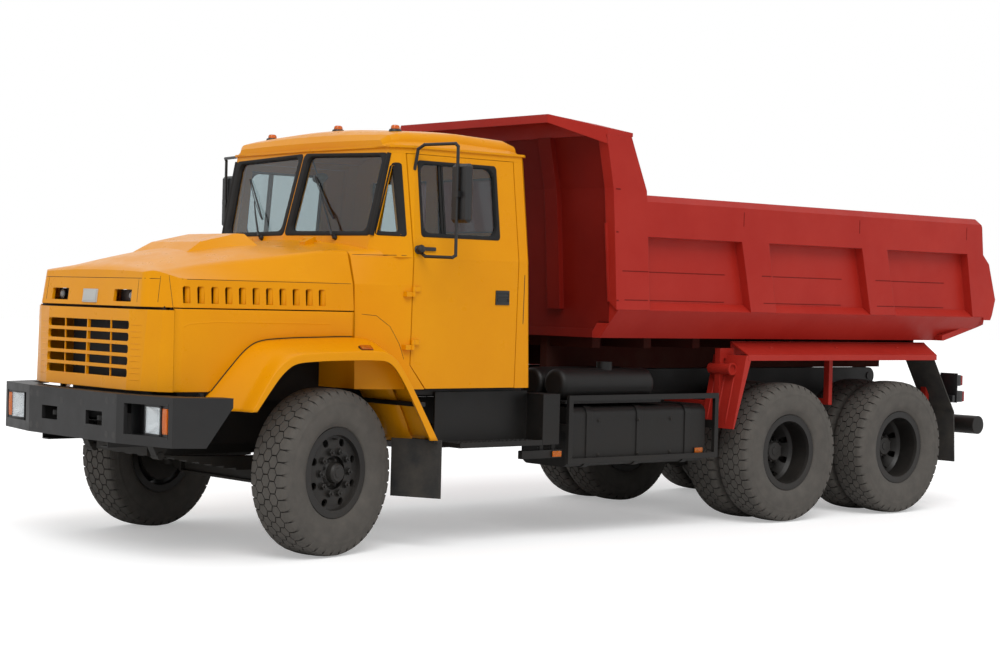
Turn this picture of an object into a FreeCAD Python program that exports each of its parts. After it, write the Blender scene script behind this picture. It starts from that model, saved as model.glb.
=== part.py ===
import FreeCAD, Part
import math
import os

# Three-axle bonneted dump truck.
# Frame: +X forward, +Y to the truck's left, +Z up, millimetres.
# The origin is on the ground, under the middle of the overall length.
# Stations along the truck are given as the distance behind the front axle.

# Driving dimensions: length, axles and wheels
WHEELBASE = 4470.0            # front axle to middle axle
BOGIE_SPREAD = 1400.0         # middle axle to rear axle
FRONT_OVERHANG = 1260.0       # front axle to bumper face
REAR_OVERHANG = 1255.0        # rear axle to the bed's tail
OVERALL_LENGTH = FRONT_OVERHANG + WHEELBASE + BOGIE_SPREAD + REAR_OVERHANG
FRONT_AXLE_X = OVERALL_LENGTH / 2 - FRONT_OVERHANG
TYRE_RADIUS = 555.0
TYRE_WIDTH = 313.0
FRONT_TRACK = 2030.0
DUAL_TRACK = 1838.0           # between the middles of the twin wheels
DUAL_SPACING = 345.0          # between the two tyres of a pair
OVERALL_WIDTH = 2500.0
AXLE_Z = TYRE_RADIUS
HALF_WIDTH = OVERALL_WIDTH / 2
BUMPER_WALL = 26.0

# Tipping
TIP_Z = 1120.0
TIP_RANGE = 60.0

# Clearances
RUN_GAP = 0.3                 # between a shaft and its hole
SEAM_GAP = 6.0                # between fixed and moving panels
MOVE_GAP = 8.0                # between moving pieces and what they pass

# Steering
KINGPIN_Y = 820.0
STEER_REST = 13.4             # the wheels stand turned to the left
STEER_LOCK = 35.0
ARM_LENGTH = 210.0            # kingpin to tie rod ball


def behind(distance):
    """The X of a station this far behind the front axle."""
    return FRONT_AXLE_X - distance


def ahead(distance):
    """The X of a station this far ahead of the front axle."""
    return FRONT_AXLE_X + distance


MIDDLE_AXLE_X = behind(WHEELBASE)
REAR_AXLE_X = behind(WHEELBASE + BOGIE_SPREAD)
BOGIE_X = (MIDDLE_AXLE_X + REAR_AXLE_X) / 2


# Shape helpers
def vec(x, y, z):
    return FreeCAD.Vector(x, y, z)


def box(x0, x1, y0, y1, z0, z1):
    low = vec(min(x0, x1), min(y0, y1), min(z0, z1))
    return Part.makeBox(abs(x1 - x0), abs(y1 - y0), abs(z1 - z0), low)


def prism(points, axis, start, end):
    """A polygon pushed along one axis. The points give the other two coordinates, in X, Y, Z order."""
    place = {
        "x": lambda a, b: vec(start, a, b),
        "y": lambda a, b: vec(a, start, b),
        "z": lambda a, b: vec(a, b, start),
    }[axis]
    corners = [place(a, b) for a, b in points]
    face = Part.Face(Part.makePolygon(corners + corners[:1]))
    push = {"x": vec(1, 0, 0), "y": vec(0, 1, 0), "z": vec(0, 0, 1)}[axis]
    return face.extrude(push * (end - start))


def rod(start, end, radius):
    direction = end - start
    return Part.makeCylinder(radius, direction.Length, start, direction)


def lathe_y(profile, x, z):
    """A closed outline of (y, radius) points, turned about the line along Y through x, z."""
    corners = [vec(x, y, z + r) for y, r in profile]
    face = Part.Face(Part.makePolygon(corners + corners[:1]))
    return face.revolve(vec(x, 0, z), vec(0, 1, 0), 360)


def fuse(shapes):
    whole = shapes[0]
    if len(shapes) > 1:
        whole = shapes[0].multiFuse(shapes[1:])
    return whole.removeSplitter()


def largest(shape):
    return max(shape.Solids, key=lambda s: s.Volume)


def mirrored(shape):
    return shape.mirror(vec(0, 0, 0), vec(0, 1, 0))


def both_sides(shape):
    return [shape, mirrored(shape)]


def turned(shape, centre, axis, degrees):
    copy = shape.copy()
    copy.rotate(centre, axis, degrees)
    return copy


def round_edges(shape, radius, chosen):
    """Rounds the edges that the test picks. Each edge is given by its two end points."""
    edges = []
    for edge in shape.Edges:
        if len(edge.Vertexes) == 2 and chosen(edge.Vertexes[0].Point, edge.Vertexes[1].Point):
            edges.append(edge)
    return shape.makeFillet(radius, edges) if edges else shape


NODES = {}


def keep(name, shapes):
    """Stores one node's solids."""
    if not isinstance(shapes, list):
        shapes = [shapes]
    solids = [s for shape in shapes for s in shape.Solids]
    NODES[name] = solids


# Chassis: ladder frame of two channels and their crossmembers
RAIL_OUT = 435.0
RAIL_FLANGE = 85.0
RAIL_HEIGHT = 290.0
RAIL_WALL = 9.0
FRAME_TOP = 1000.0
FRAME_LOW = FRAME_TOP - RAIL_HEIGHT
FRAME_FRONT = ahead(FRONT_OVERHANG - BUMPER_WALL)
FRAME_REAR = behind(6545.0)


def rail():
    web_in = RAIL_OUT - RAIL_WALL
    flange_in = RAIL_OUT - RAIL_FLANGE
    outline = [
        (RAIL_OUT, FRAME_LOW), (RAIL_OUT, FRAME_TOP), (flange_in, FRAME_TOP),
        (flange_in, FRAME_TOP - RAIL_WALL), (web_in, FRAME_TOP - RAIL_WALL),
        (web_in, FRAME_LOW + RAIL_WALL), (flange_in, FRAME_LOW + RAIL_WALL), (flange_in, FRAME_LOW),
    ]
    return prism(outline, "x", FRAME_REAR, FRAME_FRONT)


CROSS_STATIONS = [-1080.0, 1750.0, 3300.0, 6470.0]
CROSS_DEPTH = 90.0
CROSS_RISE = 150.0            # clear of the drive shaft below


def crossmember(station):
    """A channel on its side between the two webs."""
    x = behind(station)
    web_in = RAIL_OUT - RAIL_WALL
    low, high = FRAME_LOW + CROSS_RISE, FRAME_TOP - 40.0
    outline = [
        (x - CROSS_DEPTH / 2, low), (x + CROSS_DEPTH / 2, low), (x + CROSS_DEPTH / 2, low + RAIL_WALL),
        (x - CROSS_DEPTH / 2 + RAIL_WALL, low + RAIL_WALL), (x - CROSS_DEPTH / 2 + RAIL_WALL, high - RAIL_WALL),
        (x + CROSS_DEPTH / 2, high - RAIL_WALL), (x + CROSS_DEPTH / 2, high), (x - CROSS_DEPTH / 2, high),
    ]
    return prism(outline, "y", -web_in, web_in)


TOW_EYE_X = 1185.0
TOW_EYE_Y = 295.0
TOW_EYE_Z = 895.0
TOW_EYE_BORE = 20.0
TOW_EYE_RADIUS = 45.0
TOW_EYE_THICK = 32.0
TOW_TAIL_X = -6640.0


def tow_eye(root_x, eye_x, y):
    """A flat lug on a crossmember with an upright bore for a towing pin."""
    z0, z1 = TOW_EYE_Z - TOW_EYE_THICK / 2, TOW_EYE_Z + TOW_EYE_THICK / 2
    lug = box(root_x, eye_x, y - TOW_EYE_RADIUS, y + TOW_EYE_RADIUS, z0, z1)
    lug = lug.fuse(Part.makeCylinder(TOW_EYE_RADIUS, TOW_EYE_THICK, vec(eye_x, y, z0)))
    return lug.cut(Part.makeCylinder(TOW_EYE_BORE, TOW_EYE_THICK + 2.0, vec(eye_x, y, z0 - 1.0)))


def crossmembers():
    """Each is its own solid, riveted between the rails. The first and last carry the towing eyes."""
    members = [crossmember(s) for s in CROSS_STATIONS]
    eyes = both_sides(tow_eye(behind(CROSS_STATIONS[0]) - CROSS_DEPTH / 2, ahead(TOW_EYE_X), TOW_EYE_Y))
    members[0] = fuse([members[0]] + eyes)
    members[-1] = members[-1].fuse(tow_eye(behind(CROSS_STATIONS[-1]), ahead(TOW_TAIL_X), 0.0))
    return members

# Subframe under the bed, along the rails, with the tipping pins at its rounded rear ends
SUB_TOP = 1195.0
SUB_IN = 355.0
SUB_OUT = 430.0
SUB_FRONT = behind(2380.0)
SUB_WALL = 8.0
SUB_CROSS_HALF = 40.0
TIP_X = behind(6420.0)
TIP_PIN = 32.0
TIP_END = SUB_TOP - TIP_Z
EAR_IN = 300.0
EAR_OUT = 345.0


def subframe_beam():
    outer = box(TIP_X, SUB_FRONT, SUB_IN, SUB_OUT, FRAME_TOP, SUB_TOP)
    inner = box(TIP_X + TIP_END, SUB_FRONT + 1, SUB_IN + SUB_WALL, SUB_OUT - SUB_WALL,
                FRAME_TOP + SUB_WALL, SUB_TOP - SUB_WALL)
    end = rod(vec(TIP_X, SUB_IN, TIP_Z), vec(TIP_X, SUB_OUT, TIP_Z), TIP_END)
    pin = rod(vec(TIP_X, EAR_IN - 12.0, TIP_Z), vec(TIP_X, SUB_OUT + 8.0, TIP_Z), TIP_PIN)
    return fuse([outer.cut(inner), end, pin])


def subframe():
    cross = [box(behind(s) - SUB_CROSS_HALF, behind(s) + SUB_CROSS_HALF, -SUB_IN, SUB_IN, FRAME_TOP + 20.0,
                 SUB_TOP - 20.0) for s in (2450.0, 3450.0, 5170.0, 6230.0)]
    return fuse(both_sides(subframe_beam()) + cross)


keep("bed_subframe", subframe())

# Tyres and rims
RIM_FLANGE_RADIUS = 300.0
RIM_SEAT_RADIUS = 254.0
RIM_WALL = 10.0
RIM_WIDTH = 240.0
RIM_FLANGE_WIDTH = 12.0
TREAD_HALF = 108.0
SHOULDER_DROP = 9.0
CARCASS = 26.0


def tyre(middle_y, x):
    """One hollow tyre. The tread reaches out to the lugs' tips."""
    half = TYRE_WIDTH / 2
    bead_half = RIM_WIDTH / 2 - RIM_FLANGE_WIDTH - RUN_GAP
    seat = RIM_SEAT_RADIUS + RUN_GAP
    flange = RIM_FLANGE_RADIUS + 4.0
    shoulder = TYRE_RADIUS - SHOULDER_DROP

    def p(w, r):
        return vec(x, middle_y + w, AXLE_Z + r)

    side_mid = (seat + TYRE_RADIUS) / 2 + 10.0
    shoulder_low = TYRE_RADIUS - 48.0
    edges = []
    for s in (1, -1):
        edges.append(Part.LineSegment(p(s * bead_half, seat), p(s * bead_half, flange)).toShape())
        edges.append(Part.Arc(p(s * bead_half, flange), p(s * half, side_mid),
                              p(s * (half - 12.0), shoulder_low)).toShape())
        edges.append(Part.LineSegment(p(s * (half - 12.0), shoulder_low), p(s * (TREAD_HALF + 26.0), shoulder)).toShape())
        edges.append(Part.LineSegment(p(s * (TREAD_HALF + 26.0), shoulder), p(s * TREAD_HALF, TYRE_RADIUS)).toShape())
        # the cavity
        inner = bead_half - CARCASS
        edges.append(Part.LineSegment(p(s * bead_half, seat), p(s * inner, seat)).toShape())
        edges.append(Part.LineSegment(p(s * inner, seat), p(s * inner, flange)).toShape())
        edges.append(Part.Arc(p(s * inner, flange), p(s * (half - CARCASS), side_mid),
                              p(s * TREAD_HALF, TYRE_RADIUS - 1.6 * CARCASS)).toShape())
    edges.append(Part.LineSegment(p(-TREAD_HALF, TYRE_RADIUS), p(TREAD_HALF, TYRE_RADIUS)).toShape())
    edges.append(Part.LineSegment(p(-TREAD_HALF, TYRE_RADIUS - 1.6 * CARCASS),
                                  p(TREAD_HALF, TYRE_RADIUS - 1.6 * CARCASS)).toShape())
    wire = Part.Wire(Part.__sortEdges__(edges))
    return Part.Face(wire).revolve(vec(x, 0, AXLE_Z), vec(0, 1, 0), 360)


def rim(middle_y, x):
    """The rim alone: seat and two flanges."""
    half = RIM_WIDTH / 2
    seat_half = half - RIM_FLANGE_WIDTH
    bore = RIM_SEAT_RADIUS - RIM_WALL
    outline = [
        (-half, RIM_FLANGE_RADIUS), (-seat_half, RIM_FLANGE_RADIUS), (-seat_half, RIM_SEAT_RADIUS),
        (seat_half, RIM_SEAT_RADIUS), (seat_half, RIM_FLANGE_RADIUS), (half, RIM_FLANGE_RADIUS), (half, bore + 6.0),
        (half - 24.0, bore), (-half + 24.0, bore), (-half, bore + 6.0),
    ]
    return lathe_y([(middle_y + w, r) for w, r in outline], x, AXLE_Z)


NAVE_RADIUS = 176.0
NAVE_BORE = 112.0
DISC_WALL = 14.0
HAND_HOLES = 8
HAND_HOLE_RADIUS = 26.0
NUTS = 10
NUT_CIRCLE = 143.0
NUT_RADIUS = 17.0
NUT_HEIGHT = 24.0
HUB_RADIUS = 96.0
CAP_RADIUS = 66.0
DRUM_RADIUS = 212.0
SPINDLE_RADIUS = 40.0


def disc(rim_y, nave_y, x, out):
    """The pressed disc: a cone from the rim's bore to the flat nave, with hand holes."""
    bore = RIM_SEAT_RADIUS - RIM_WALL
    t = DISC_WALL * out
    outline = [
        (rim_y, bore + 1.0), (rim_y - t * 3, bore + 1.0), (rim_y - t * 1.2, bore - 22.0), (nave_y - t, NAVE_RADIUS),
        (nave_y - t, NAVE_BORE), (nave_y, NAVE_BORE), (nave_y, NAVE_RADIUS + 4.0), (rim_y, bore - 18.0),
    ]
    shape = lathe_y(outline, x, AXLE_Z)
    middle = (NAVE_RADIUS + bore) / 2
    reach = 80.0
    tools = []
    for i in range(HAND_HOLES):
        angle = 2 * math.pi * (i + 0.5) / HAND_HOLES
        cx, cz = x + middle * math.cos(angle), AXLE_Z + middle * math.sin(angle)
        tools.append(rod(vec(cx, nave_y - reach, cz), vec(cx, nave_y + reach, cz), HAND_HOLE_RADIUS))
    return shape.cut(Part.Compound(tools))


def nuts(face_y, x, out):
    shapes = []
    for i in range(NUTS):
        angle = 2 * math.pi * i / NUTS
        cx, cz = x + NUT_CIRCLE * math.cos(angle), AXLE_Z + NUT_CIRCLE * math.sin(angle)
        shapes.append(rod(vec(cx, face_y, cz), vec(cx, face_y + out * NUT_HEIGHT, cz), NUT_RADIUS))
    return shapes


FRONT_WHEEL_Y = FRONT_TRACK / 2
FRONT_NAVE_Y = FRONT_WHEEL_Y + 100.0
FRONT_DRUM_IN = FRONT_WHEEL_Y - 105.0
FRONT_HUB_IN = FRONT_DRUM_IN + 90.0


def front_wheel():
    """Rim, outward-dished disc, hub and brake drum, for the left side with the wheel straight."""
    x = FRONT_AXLE_X
    hub = lathe_y([
        (FRONT_HUB_IN, SPINDLE_RADIUS + RUN_GAP), (FRONT_NAVE_Y + 2.0, SPINDLE_RADIUS + RUN_GAP),
        (FRONT_NAVE_Y + 2.0, 0.0), (FRONT_NAVE_Y + 44.0, 0.0), (FRONT_NAVE_Y + 44.0, CAP_RADIUS - 12.0),
        (FRONT_NAVE_Y + 30.0, CAP_RADIUS), (FRONT_NAVE_Y - 6.0, CAP_RADIUS + 6.0), (FRONT_NAVE_Y - 30.0, HUB_RADIUS),
        (FRONT_NAVE_Y - DISC_WALL - 22.0, HUB_RADIUS), (FRONT_NAVE_Y - DISC_WALL - 22.0, NAVE_RADIUS - 8.0),
        (FRONT_NAVE_Y - DISC_WALL - 40.0, NAVE_RADIUS - 8.0), (FRONT_NAVE_Y - DISC_WALL - 44.0, HUB_RADIUS),
        (FRONT_HUB_IN, HUB_RADIUS),
    ], x, AXLE_Z)
    flange = lathe_y([
        (FRONT_NAVE_Y - DISC_WALL - 24.0, NAVE_BORE + 6.0), (FRONT_NAVE_Y - DISC_WALL, NAVE_BORE + 6.0),
        (FRONT_NAVE_Y - DISC_WALL, NAVE_RADIUS - 8.0), (FRONT_NAVE_Y - DISC_WALL - 24.0, NAVE_RADIUS - 8.0),
    ], x, AXLE_Z)
    drum = lathe_y([
        (FRONT_DRUM_IN, DRUM_RADIUS), (FRONT_HUB_IN, DRUM_RADIUS), (FRONT_HUB_IN + 14.0, DRUM_RADIUS - 20.0),
        (FRONT_HUB_IN + 14.0, HUB_RADIUS - 10.0), (FRONT_HUB_IN, HUB_RADIUS - 10.0),
        (FRONT_HUB_IN, DRUM_RADIUS - 14.0), (FRONT_DRUM_IN, DRUM_RADIUS - 14.0),
    ], x, AXLE_Z)
    shapes = [rim(FRONT_WHEEL_Y, x), disc(FRONT_WHEEL_Y + 92.0, FRONT_NAVE_Y, x, 1), hub, flange, drum]
    return fuse(shapes + nuts(FRONT_NAVE_Y, x, 1))


DUAL_MIDDLE_Y = DUAL_TRACK / 2
DUAL_OUT_Y = DUAL_MIDDLE_Y + DUAL_SPACING / 2
DUAL_IN_Y = DUAL_MIDDLE_Y - DUAL_SPACING / 2
REAR_DRUM_IN = DUAL_IN_Y - 95.0
REAR_HUB_IN = REAR_DRUM_IN + 150.0
REAR_HUB_END = DUAL_MIDDLE_Y + 150.0
REAR_SPINDLE = 48.0


def dual_wheel(x):
    """Two rims, their discs back to back, hub and brake drum, for the left side."""
    nave = DUAL_MIDDLE_Y + DISC_WALL
    hub = lathe_y([
        (REAR_HUB_IN, REAR_SPINDLE + RUN_GAP), (REAR_HUB_END - 30.0, REAR_SPINDLE + RUN_GAP), (REAR_HUB_END - 30.0, 0.0),
        (REAR_HUB_END, 0.0), (REAR_HUB_END, CAP_RADIUS + 4.0), (REAR_HUB_END - 16.0, CAP_RADIUS + 18.0),
        (nave + 30.0, CAP_RADIUS + 24.0), (nave + 20.0, HUB_RADIUS), (nave - 2.4 * DISC_WALL, HUB_RADIUS),
        (nave - 2.4 * DISC_WALL, NAVE_RADIUS - 8.0), (nave - 4.0 * DISC_WALL, NAVE_RADIUS - 8.0),
        (nave - 5.0 * DISC_WALL, HUB_RADIUS), (REAR_HUB_IN, HUB_RADIUS),
    ], x, AXLE_Z)
    drum = lathe_y([
        (REAR_DRUM_IN, DRUM_RADIUS), (REAR_HUB_IN, DRUM_RADIUS), (REAR_HUB_IN + 14.0, DRUM_RADIUS - 20.0),
        (REAR_HUB_IN + 14.0, HUB_RADIUS - 10.0), (REAR_HUB_IN, HUB_RADIUS - 10.0),
        (REAR_HUB_IN, DRUM_RADIUS - 14.0), (REAR_DRUM_IN, DRUM_RADIUS - 14.0),
    ], x, AXLE_Z)
    shapes = [
        rim(DUAL_OUT_Y, x), rim(DUAL_IN_Y, x), hub, drum,
        disc(DUAL_OUT_Y - 92.0, nave, x, -1), disc(DUAL_IN_Y + 92.0, nave - 2 * DISC_WALL, x, 1),
        lathe_y([(nave - 2.5 * DISC_WALL, NAVE_BORE - 30.0), (nave + DISC_WALL, NAVE_BORE - 30.0),
                 (nave + DISC_WALL, NAVE_RADIUS - 2.0), (nave - 2.5 * DISC_WALL, NAVE_RADIUS - 2.0)], x, AXLE_Z),
    ]
    return fuse(shapes + nuts(nave + DISC_WALL, x, 1))


def steered(shape, side):
    centre = vec(FRONT_AXLE_X, side * KINGPIN_Y, 0)
    return turned(shape, centre, vec(0, 0, 1), STEER_REST)


FRONT_WHEEL = front_wheel()
FRONT_TYRE = tyre(FRONT_WHEEL_Y, FRONT_AXLE_X)
for side, name in ((1, "left"), (-1, "right")):
    for base, shape in (("front_wheel", FRONT_WHEEL), ("front_tyre", FRONT_TYRE)):
        straight = shape if side > 0 else mirrored(shape)
        keep(base + "_" + name, steered(straight, side))

for axle, x in (("middle", MIDDLE_AXLE_X), ("rear", REAR_AXLE_X)):
    wheel = dual_wheel(x)
    tyres = [tyre(DUAL_OUT_Y, x), tyre(DUAL_IN_Y, x)]
    keep(axle + "_wheels_left", wheel)
    keep(axle + "_wheels_right", mirrored(wheel))
    keep(axle + "_tyres_left", tyres)
    keep(axle + "_tyres_right", [mirrored(t) for t in tyres])

# Front axle beam, kingpins and steering knuckles
BEAM_TOP = 520.0
BEAM_HEIGHT = 95.0
BEAM_WIDTH = 90.0
BEAM_WEB = 26.0
BOSS_RADIUS = 52.0
BOSS_HALF = 55.0
EAR_THICK = 34.0
EAR_SWEEP = BOSS_RADIUS + 8.0
ARM_SWEEP = 108.0             # the tie rod arm passes under the beam at full lock
KINGPIN_RADIUS = 24.0


def front_axle():
    """A forged I beam, dropped between its ends, with a boss for each kingpin."""
    low = BEAM_TOP - BEAM_HEIGHT
    rise = AXLE_Z - (BEAM_TOP - BEAM_HEIGHT / 2)
    inner, outer = KINGPIN_Y - 230.0, KINGPIN_Y - 20.0
    outline = [(-outer, low + rise), (-inner, low), (inner, low), (outer, low + rise),
               (outer, BEAM_TOP + rise), (inner, BEAM_TOP), (-inner, BEAM_TOP), (-outer, BEAM_TOP + rise)]
    beam = prism(outline, "x", FRONT_AXLE_X - BEAM_WIDTH / 2, FRONT_AXLE_X + BEAM_WIDTH / 2)
    rib = 18.0
    pocket = [(-inner, low + rib), (inner, low + rib), (inner, BEAM_TOP - rib), (-inner, BEAM_TOP - rib)]
    pockets = [prism(pocket, "x", FRONT_AXLE_X + BEAM_WEB / 2, FRONT_AXLE_X + BEAM_WIDTH),
               prism(pocket, "x", FRONT_AXLE_X - BEAM_WIDTH, FRONT_AXLE_X - BEAM_WEB / 2)]
    beam = beam.cut(Part.Compound(pockets))
    ends = []
    for side in (1, -1):
        at = vec(FRONT_AXLE_X, side * KINGPIN_Y, AXLE_Z - BOSS_HALF)
        ends.append(Part.makeCylinder(BOSS_RADIUS, 2 * BOSS_HALF, at))
        pin_half = BOSS_HALF + EAR_THICK
        ends.append(Part.makeCylinder(KINGPIN_RADIUS, 2 * pin_half, vec(at.x, at.y, AXLE_Z - pin_half)))
    pads = [box(FRONT_AXLE_X - 75, FRONT_AXLE_X + 75, s * (SPRING_Y - 50), s * (SPRING_Y + 50), BEAM_TOP - 20.0,
                BEAM_TOP + 12.0) for s in (1, -1)]
    ear_clear = []
    for side in (1, -1):
        for z, sweep in ((AXLE_Z + BOSS_HALF, EAR_SWEEP), (AXLE_Z - BOSS_HALF - EAR_THICK, ARM_SWEEP)):
            ear_clear.append(Part.makeCylinder(sweep, EAR_THICK, vec(FRONT_AXLE_X, side * KINGPIN_Y, z)))
    return fuse([beam.cut(Part.Compound(ear_clear))] + ends + pads)


SPRING_Y = 430.0
SPRING_WIDTH = 90.0
keep("front_axle", front_axle())

BACKPLATE_Y = FRONT_DRUM_IN - 18.0


def knuckle():
    """Fork on the kingpin, spindle, brake plate and tie rod arm, for the left side with the wheel straight."""
    x, y = FRONT_AXLE_X, KINGPIN_Y
    reach = BOSS_RADIUS + 6.0
    fork_out = BACKPLATE_Y - y
    ears = []
    for z in (AXLE_Z + BOSS_HALF + RUN_GAP, AXLE_Z - BOSS_HALF - RUN_GAP - EAR_THICK):
        ear = Part.makeCylinder(BOSS_RADIUS, EAR_THICK, vec(x, y, z))
        ears.append(ear.fuse(box(x - BOSS_RADIUS, x + BOSS_RADIUS, y, y + fork_out, z, z + EAR_THICK)))
    ear_reach = BOSS_HALF + RUN_GAP + EAR_THICK
    web = box(x - BOSS_RADIUS, x + BOSS_RADIUS, y, y + fork_out, AXLE_Z - ear_reach, AXLE_Z + ear_reach)
    web = web.cut(Part.makeCylinder(reach, 2 * BOSS_HALF + 2 * RUN_GAP, vec(x, y, AXLE_Z - BOSS_HALF - RUN_GAP)))
    plate = rod(vec(x, BACKPLATE_Y, AXLE_Z), vec(x, FRONT_DRUM_IN - 6.0, AXLE_Z), DRUM_RADIUS - 4.0)
    spindle = rod(vec(x, BACKPLATE_Y, AXLE_Z), vec(x, FRONT_NAVE_Y + 2.0 - RUN_GAP, AXLE_Z), SPINDLE_RADIUS)
    arm_z = AXLE_Z - ear_reach
    arm = box(x - ARM_LENGTH, x, y - 20, y + 20, arm_z, arm_z + EAR_THICK)
    arm = arm.fuse(Part.makeCylinder(26.0, EAR_THICK, vec(x - ARM_LENGTH, y, arm_z)))
    pin = Part.makeCylinder(KINGPIN_RADIUS + RUN_GAP, 2 * ear_reach + 2.0, vec(x, y, AXLE_Z - ear_reach - 1.0))
    return fuse(ears + [web, plate, spindle, arm]).cut(pin)


KNUCKLE = knuckle()
keep("knuckle_left", steered(KNUCKLE, 1))
keep("knuckle_right", steered(mirrored(KNUCKLE), -1))

TIE_RADIUS = 22.0
TIE_DROP = 40.0
TIE_GAP = 1.0


def tie_rod():
    """The rod between the two knuckle arms, below them, with a ball stud up into each arm's seat."""
    arm_low = AXLE_Z - BOSS_HALF - RUN_GAP - EAR_THICK
    z = arm_low - TIE_DROP
    back = math.radians(STEER_REST)
    ends = [vec(FRONT_AXLE_X - ARM_LENGTH * math.cos(back), s * KINGPIN_Y - ARM_LENGTH * math.sin(back), z) for s in (1, -1)]
    shapes = [rod(ends[1], ends[0], TIE_RADIUS)]
    for end in ends:
        shapes.append(Part.makeSphere(30.0, end))
        shapes.append(Part.makeCylinder(14.0, TIE_DROP - RUN_GAP, end))
    return fuse(shapes)


keep("tie_rod", tie_rod())


# Front leaf springs
SPRING_FRONT = behind(-860.0)
SPRING_REAR = behind(900.0)
SPRING_EYE_Z = 640.0
SPRING_LEAVES = 7
LEAF = 13.0


def spring_pack(x0, x1, eye_z, sag, y, width, leaves, upward):
    """Leaves of one pack as one arc of shrinking length. The longest is at the eyes' height."""
    middle_x = (x0 + x1) / 2
    half = (x1 - x0) / 2
    shapes = []
    for i in range(leaves):
        share = 1.0 - 0.11 * i
        span = half * share
        base = eye_z - sag - LEAF * i if upward else eye_z + sag + LEAF * i
        tip = base + sag * share * share if upward else base - sag * share * share
        top = [vec(middle_x - span, y, tip), vec(middle_x, y, base), vec(middle_x + span, y, tip)]
        low = [p + vec(0, 0, LEAF) for p in top]
        wire = Part.Wire([
            Part.Arc(top[0], top[1], top[2]).toShape(), Part.LineSegment(top[2], low[2]).toShape(),
            Part.Arc(low[2], low[1], low[0]).toShape(), Part.LineSegment(low[0], top[0]).toShape(),
        ])
        shapes.append(Part.Face(wire).extrude(vec(0, width, 0)))
    return shapes


def front_spring():
    y = SPRING_Y - SPRING_WIDTH / 2
    sag = SPRING_EYE_Z - BEAM_TOP - 12.0 - LEAF * (SPRING_LEAVES - 1)
    leaves = spring_pack(SPRING_REAR, SPRING_FRONT, SPRING_EYE_Z, sag, y, SPRING_WIDTH, SPRING_LEAVES, True)
    hangers = []
    for x in (SPRING_FRONT, SPRING_REAR):
        hangers.append(rod(vec(x, y, SPRING_EYE_Z + LEAF / 2), vec(x, y + SPRING_WIDTH, SPRING_EYE_Z + LEAF / 2), 26.0))
        hangers.append(prism([(x - 30, SPRING_EYE_Z + 10), (x + 30, SPRING_EYE_Z + 10), (x + 60, FRAME_LOW), (x - 60, FRAME_LOW)],
                             "y", y + 8, y + SPRING_WIDTH - 8))
    return fuse(leaves + hangers)


FRONT_SPRING = front_spring()

# Rear axles: housing, final drive and spindles
HOUSING_RADIUS = 78.0
BOWL_RADIUS = 205.0
PINION_RADIUS = 88.0
REAR_PLATE_Y = REAR_DRUM_IN - 18.0


def drive_axle(x, through):
    tube = rod(vec(x, -REAR_PLATE_Y, AXLE_Z), vec(x, REAR_PLATE_Y, AXLE_Z), HOUSING_RADIUS)
    bowl = Part.makeSphere(BOWL_RADIUS, vec(x, 0, AXLE_Z))
    bowl = bowl.common(box(x - 150, x + 190, -BOWL_RADIUS, BOWL_RADIUS, AXLE_Z - BOWL_RADIUS, AXLE_Z + BOWL_RADIUS))
    ends = []
    for s in (1, -1):
        ends.append(rod(vec(x, s * REAR_PLATE_Y, AXLE_Z), vec(x, s * (REAR_HUB_END - 30.0 - RUN_GAP), AXLE_Z), REAR_SPINDLE))
        ends.append(rod(vec(x, s * REAR_PLATE_Y, AXLE_Z), vec(x, s * (REAR_PLATE_Y + 12.0), AXLE_Z), DRUM_RADIUS - 4.0))
    nose = rod(vec(x, 0, PINION_Z), vec(x + NOSE_REACH, 0, PINION_Z), PINION_RADIUS)
    shapes = [tube, bowl, nose] + ends
    if through:
        shapes.append(rod(vec(x, 0, PINION_Z), vec(x - NOSE_REACH + 60.0, 0, PINION_Z), PINION_RADIUS - 22.0))
    return fuse(shapes)


PINION_Z = AXLE_Z + 30.0
NOSE_REACH = 330.0
keep("drive_axles", [drive_axle(MIDDLE_AXLE_X, True), drive_axle(REAR_AXLE_X, False)])

# Bogie springs on their trunnion tube
BOGIE_SPRING_Y = 512.0
BOGIE_SPRING_WIDTH = 90.0
TRUNNION_RADIUS = 40.0
TRUNNION_Z = 668.0
BOGIE_LEAVES = 9


def bogie_spring():
    y = BOGIE_SPRING_Y - BOGIE_SPRING_WIDTH / 2
    end_z = AXLE_Z + HOUSING_RADIUS + RUN_GAP
    base = TRUNNION_Z + TRUNNION_RADIUS + 14.0
    sag = base - end_z
    return fuse(spring_pack(REAR_AXLE_X, MIDDLE_AXLE_X, end_z, sag, y, BOGIE_SPRING_WIDTH, BOGIE_LEAVES, False))


def trunnion():
    """Cross tube under the frame with a bracket up to each rail and a saddle under each spring."""
    reach = BOGIE_SPRING_Y + BOGIE_SPRING_WIDTH / 2
    tube = rod(vec(BOGIE_X, -reach, TRUNNION_Z), vec(BOGIE_X, reach, TRUNNION_Z), TRUNNION_RADIUS)
    side = []
    low = TRUNNION_Z - TRUNNION_RADIUS - 10.0
    side.append(prism([(BOGIE_X - 80, low), (BOGIE_X + 80, low), (BOGIE_X + 190, FRAME_LOW), (BOGIE_X - 190, FRAME_LOW)],
                      "y", RAIL_OUT - 75.0, RAIL_OUT))
    saddle_low, saddle_top = TRUNNION_Z - 30.0, TRUNNION_Z + TRUNNION_RADIUS + 13.7
    side.append(box(BOGIE_X - 95, BOGIE_X + 95, reach - BOGIE_SPRING_WIDTH, reach, saddle_low, saddle_top))
    return fuse([tube] + side + [mirrored(s) for s in side])


BOGIE_SPRING = bogie_spring()
keep("leaf_springs", both_sides(FRONT_SPRING) + both_sides(BOGIE_SPRING) + [trunnion()])

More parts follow.
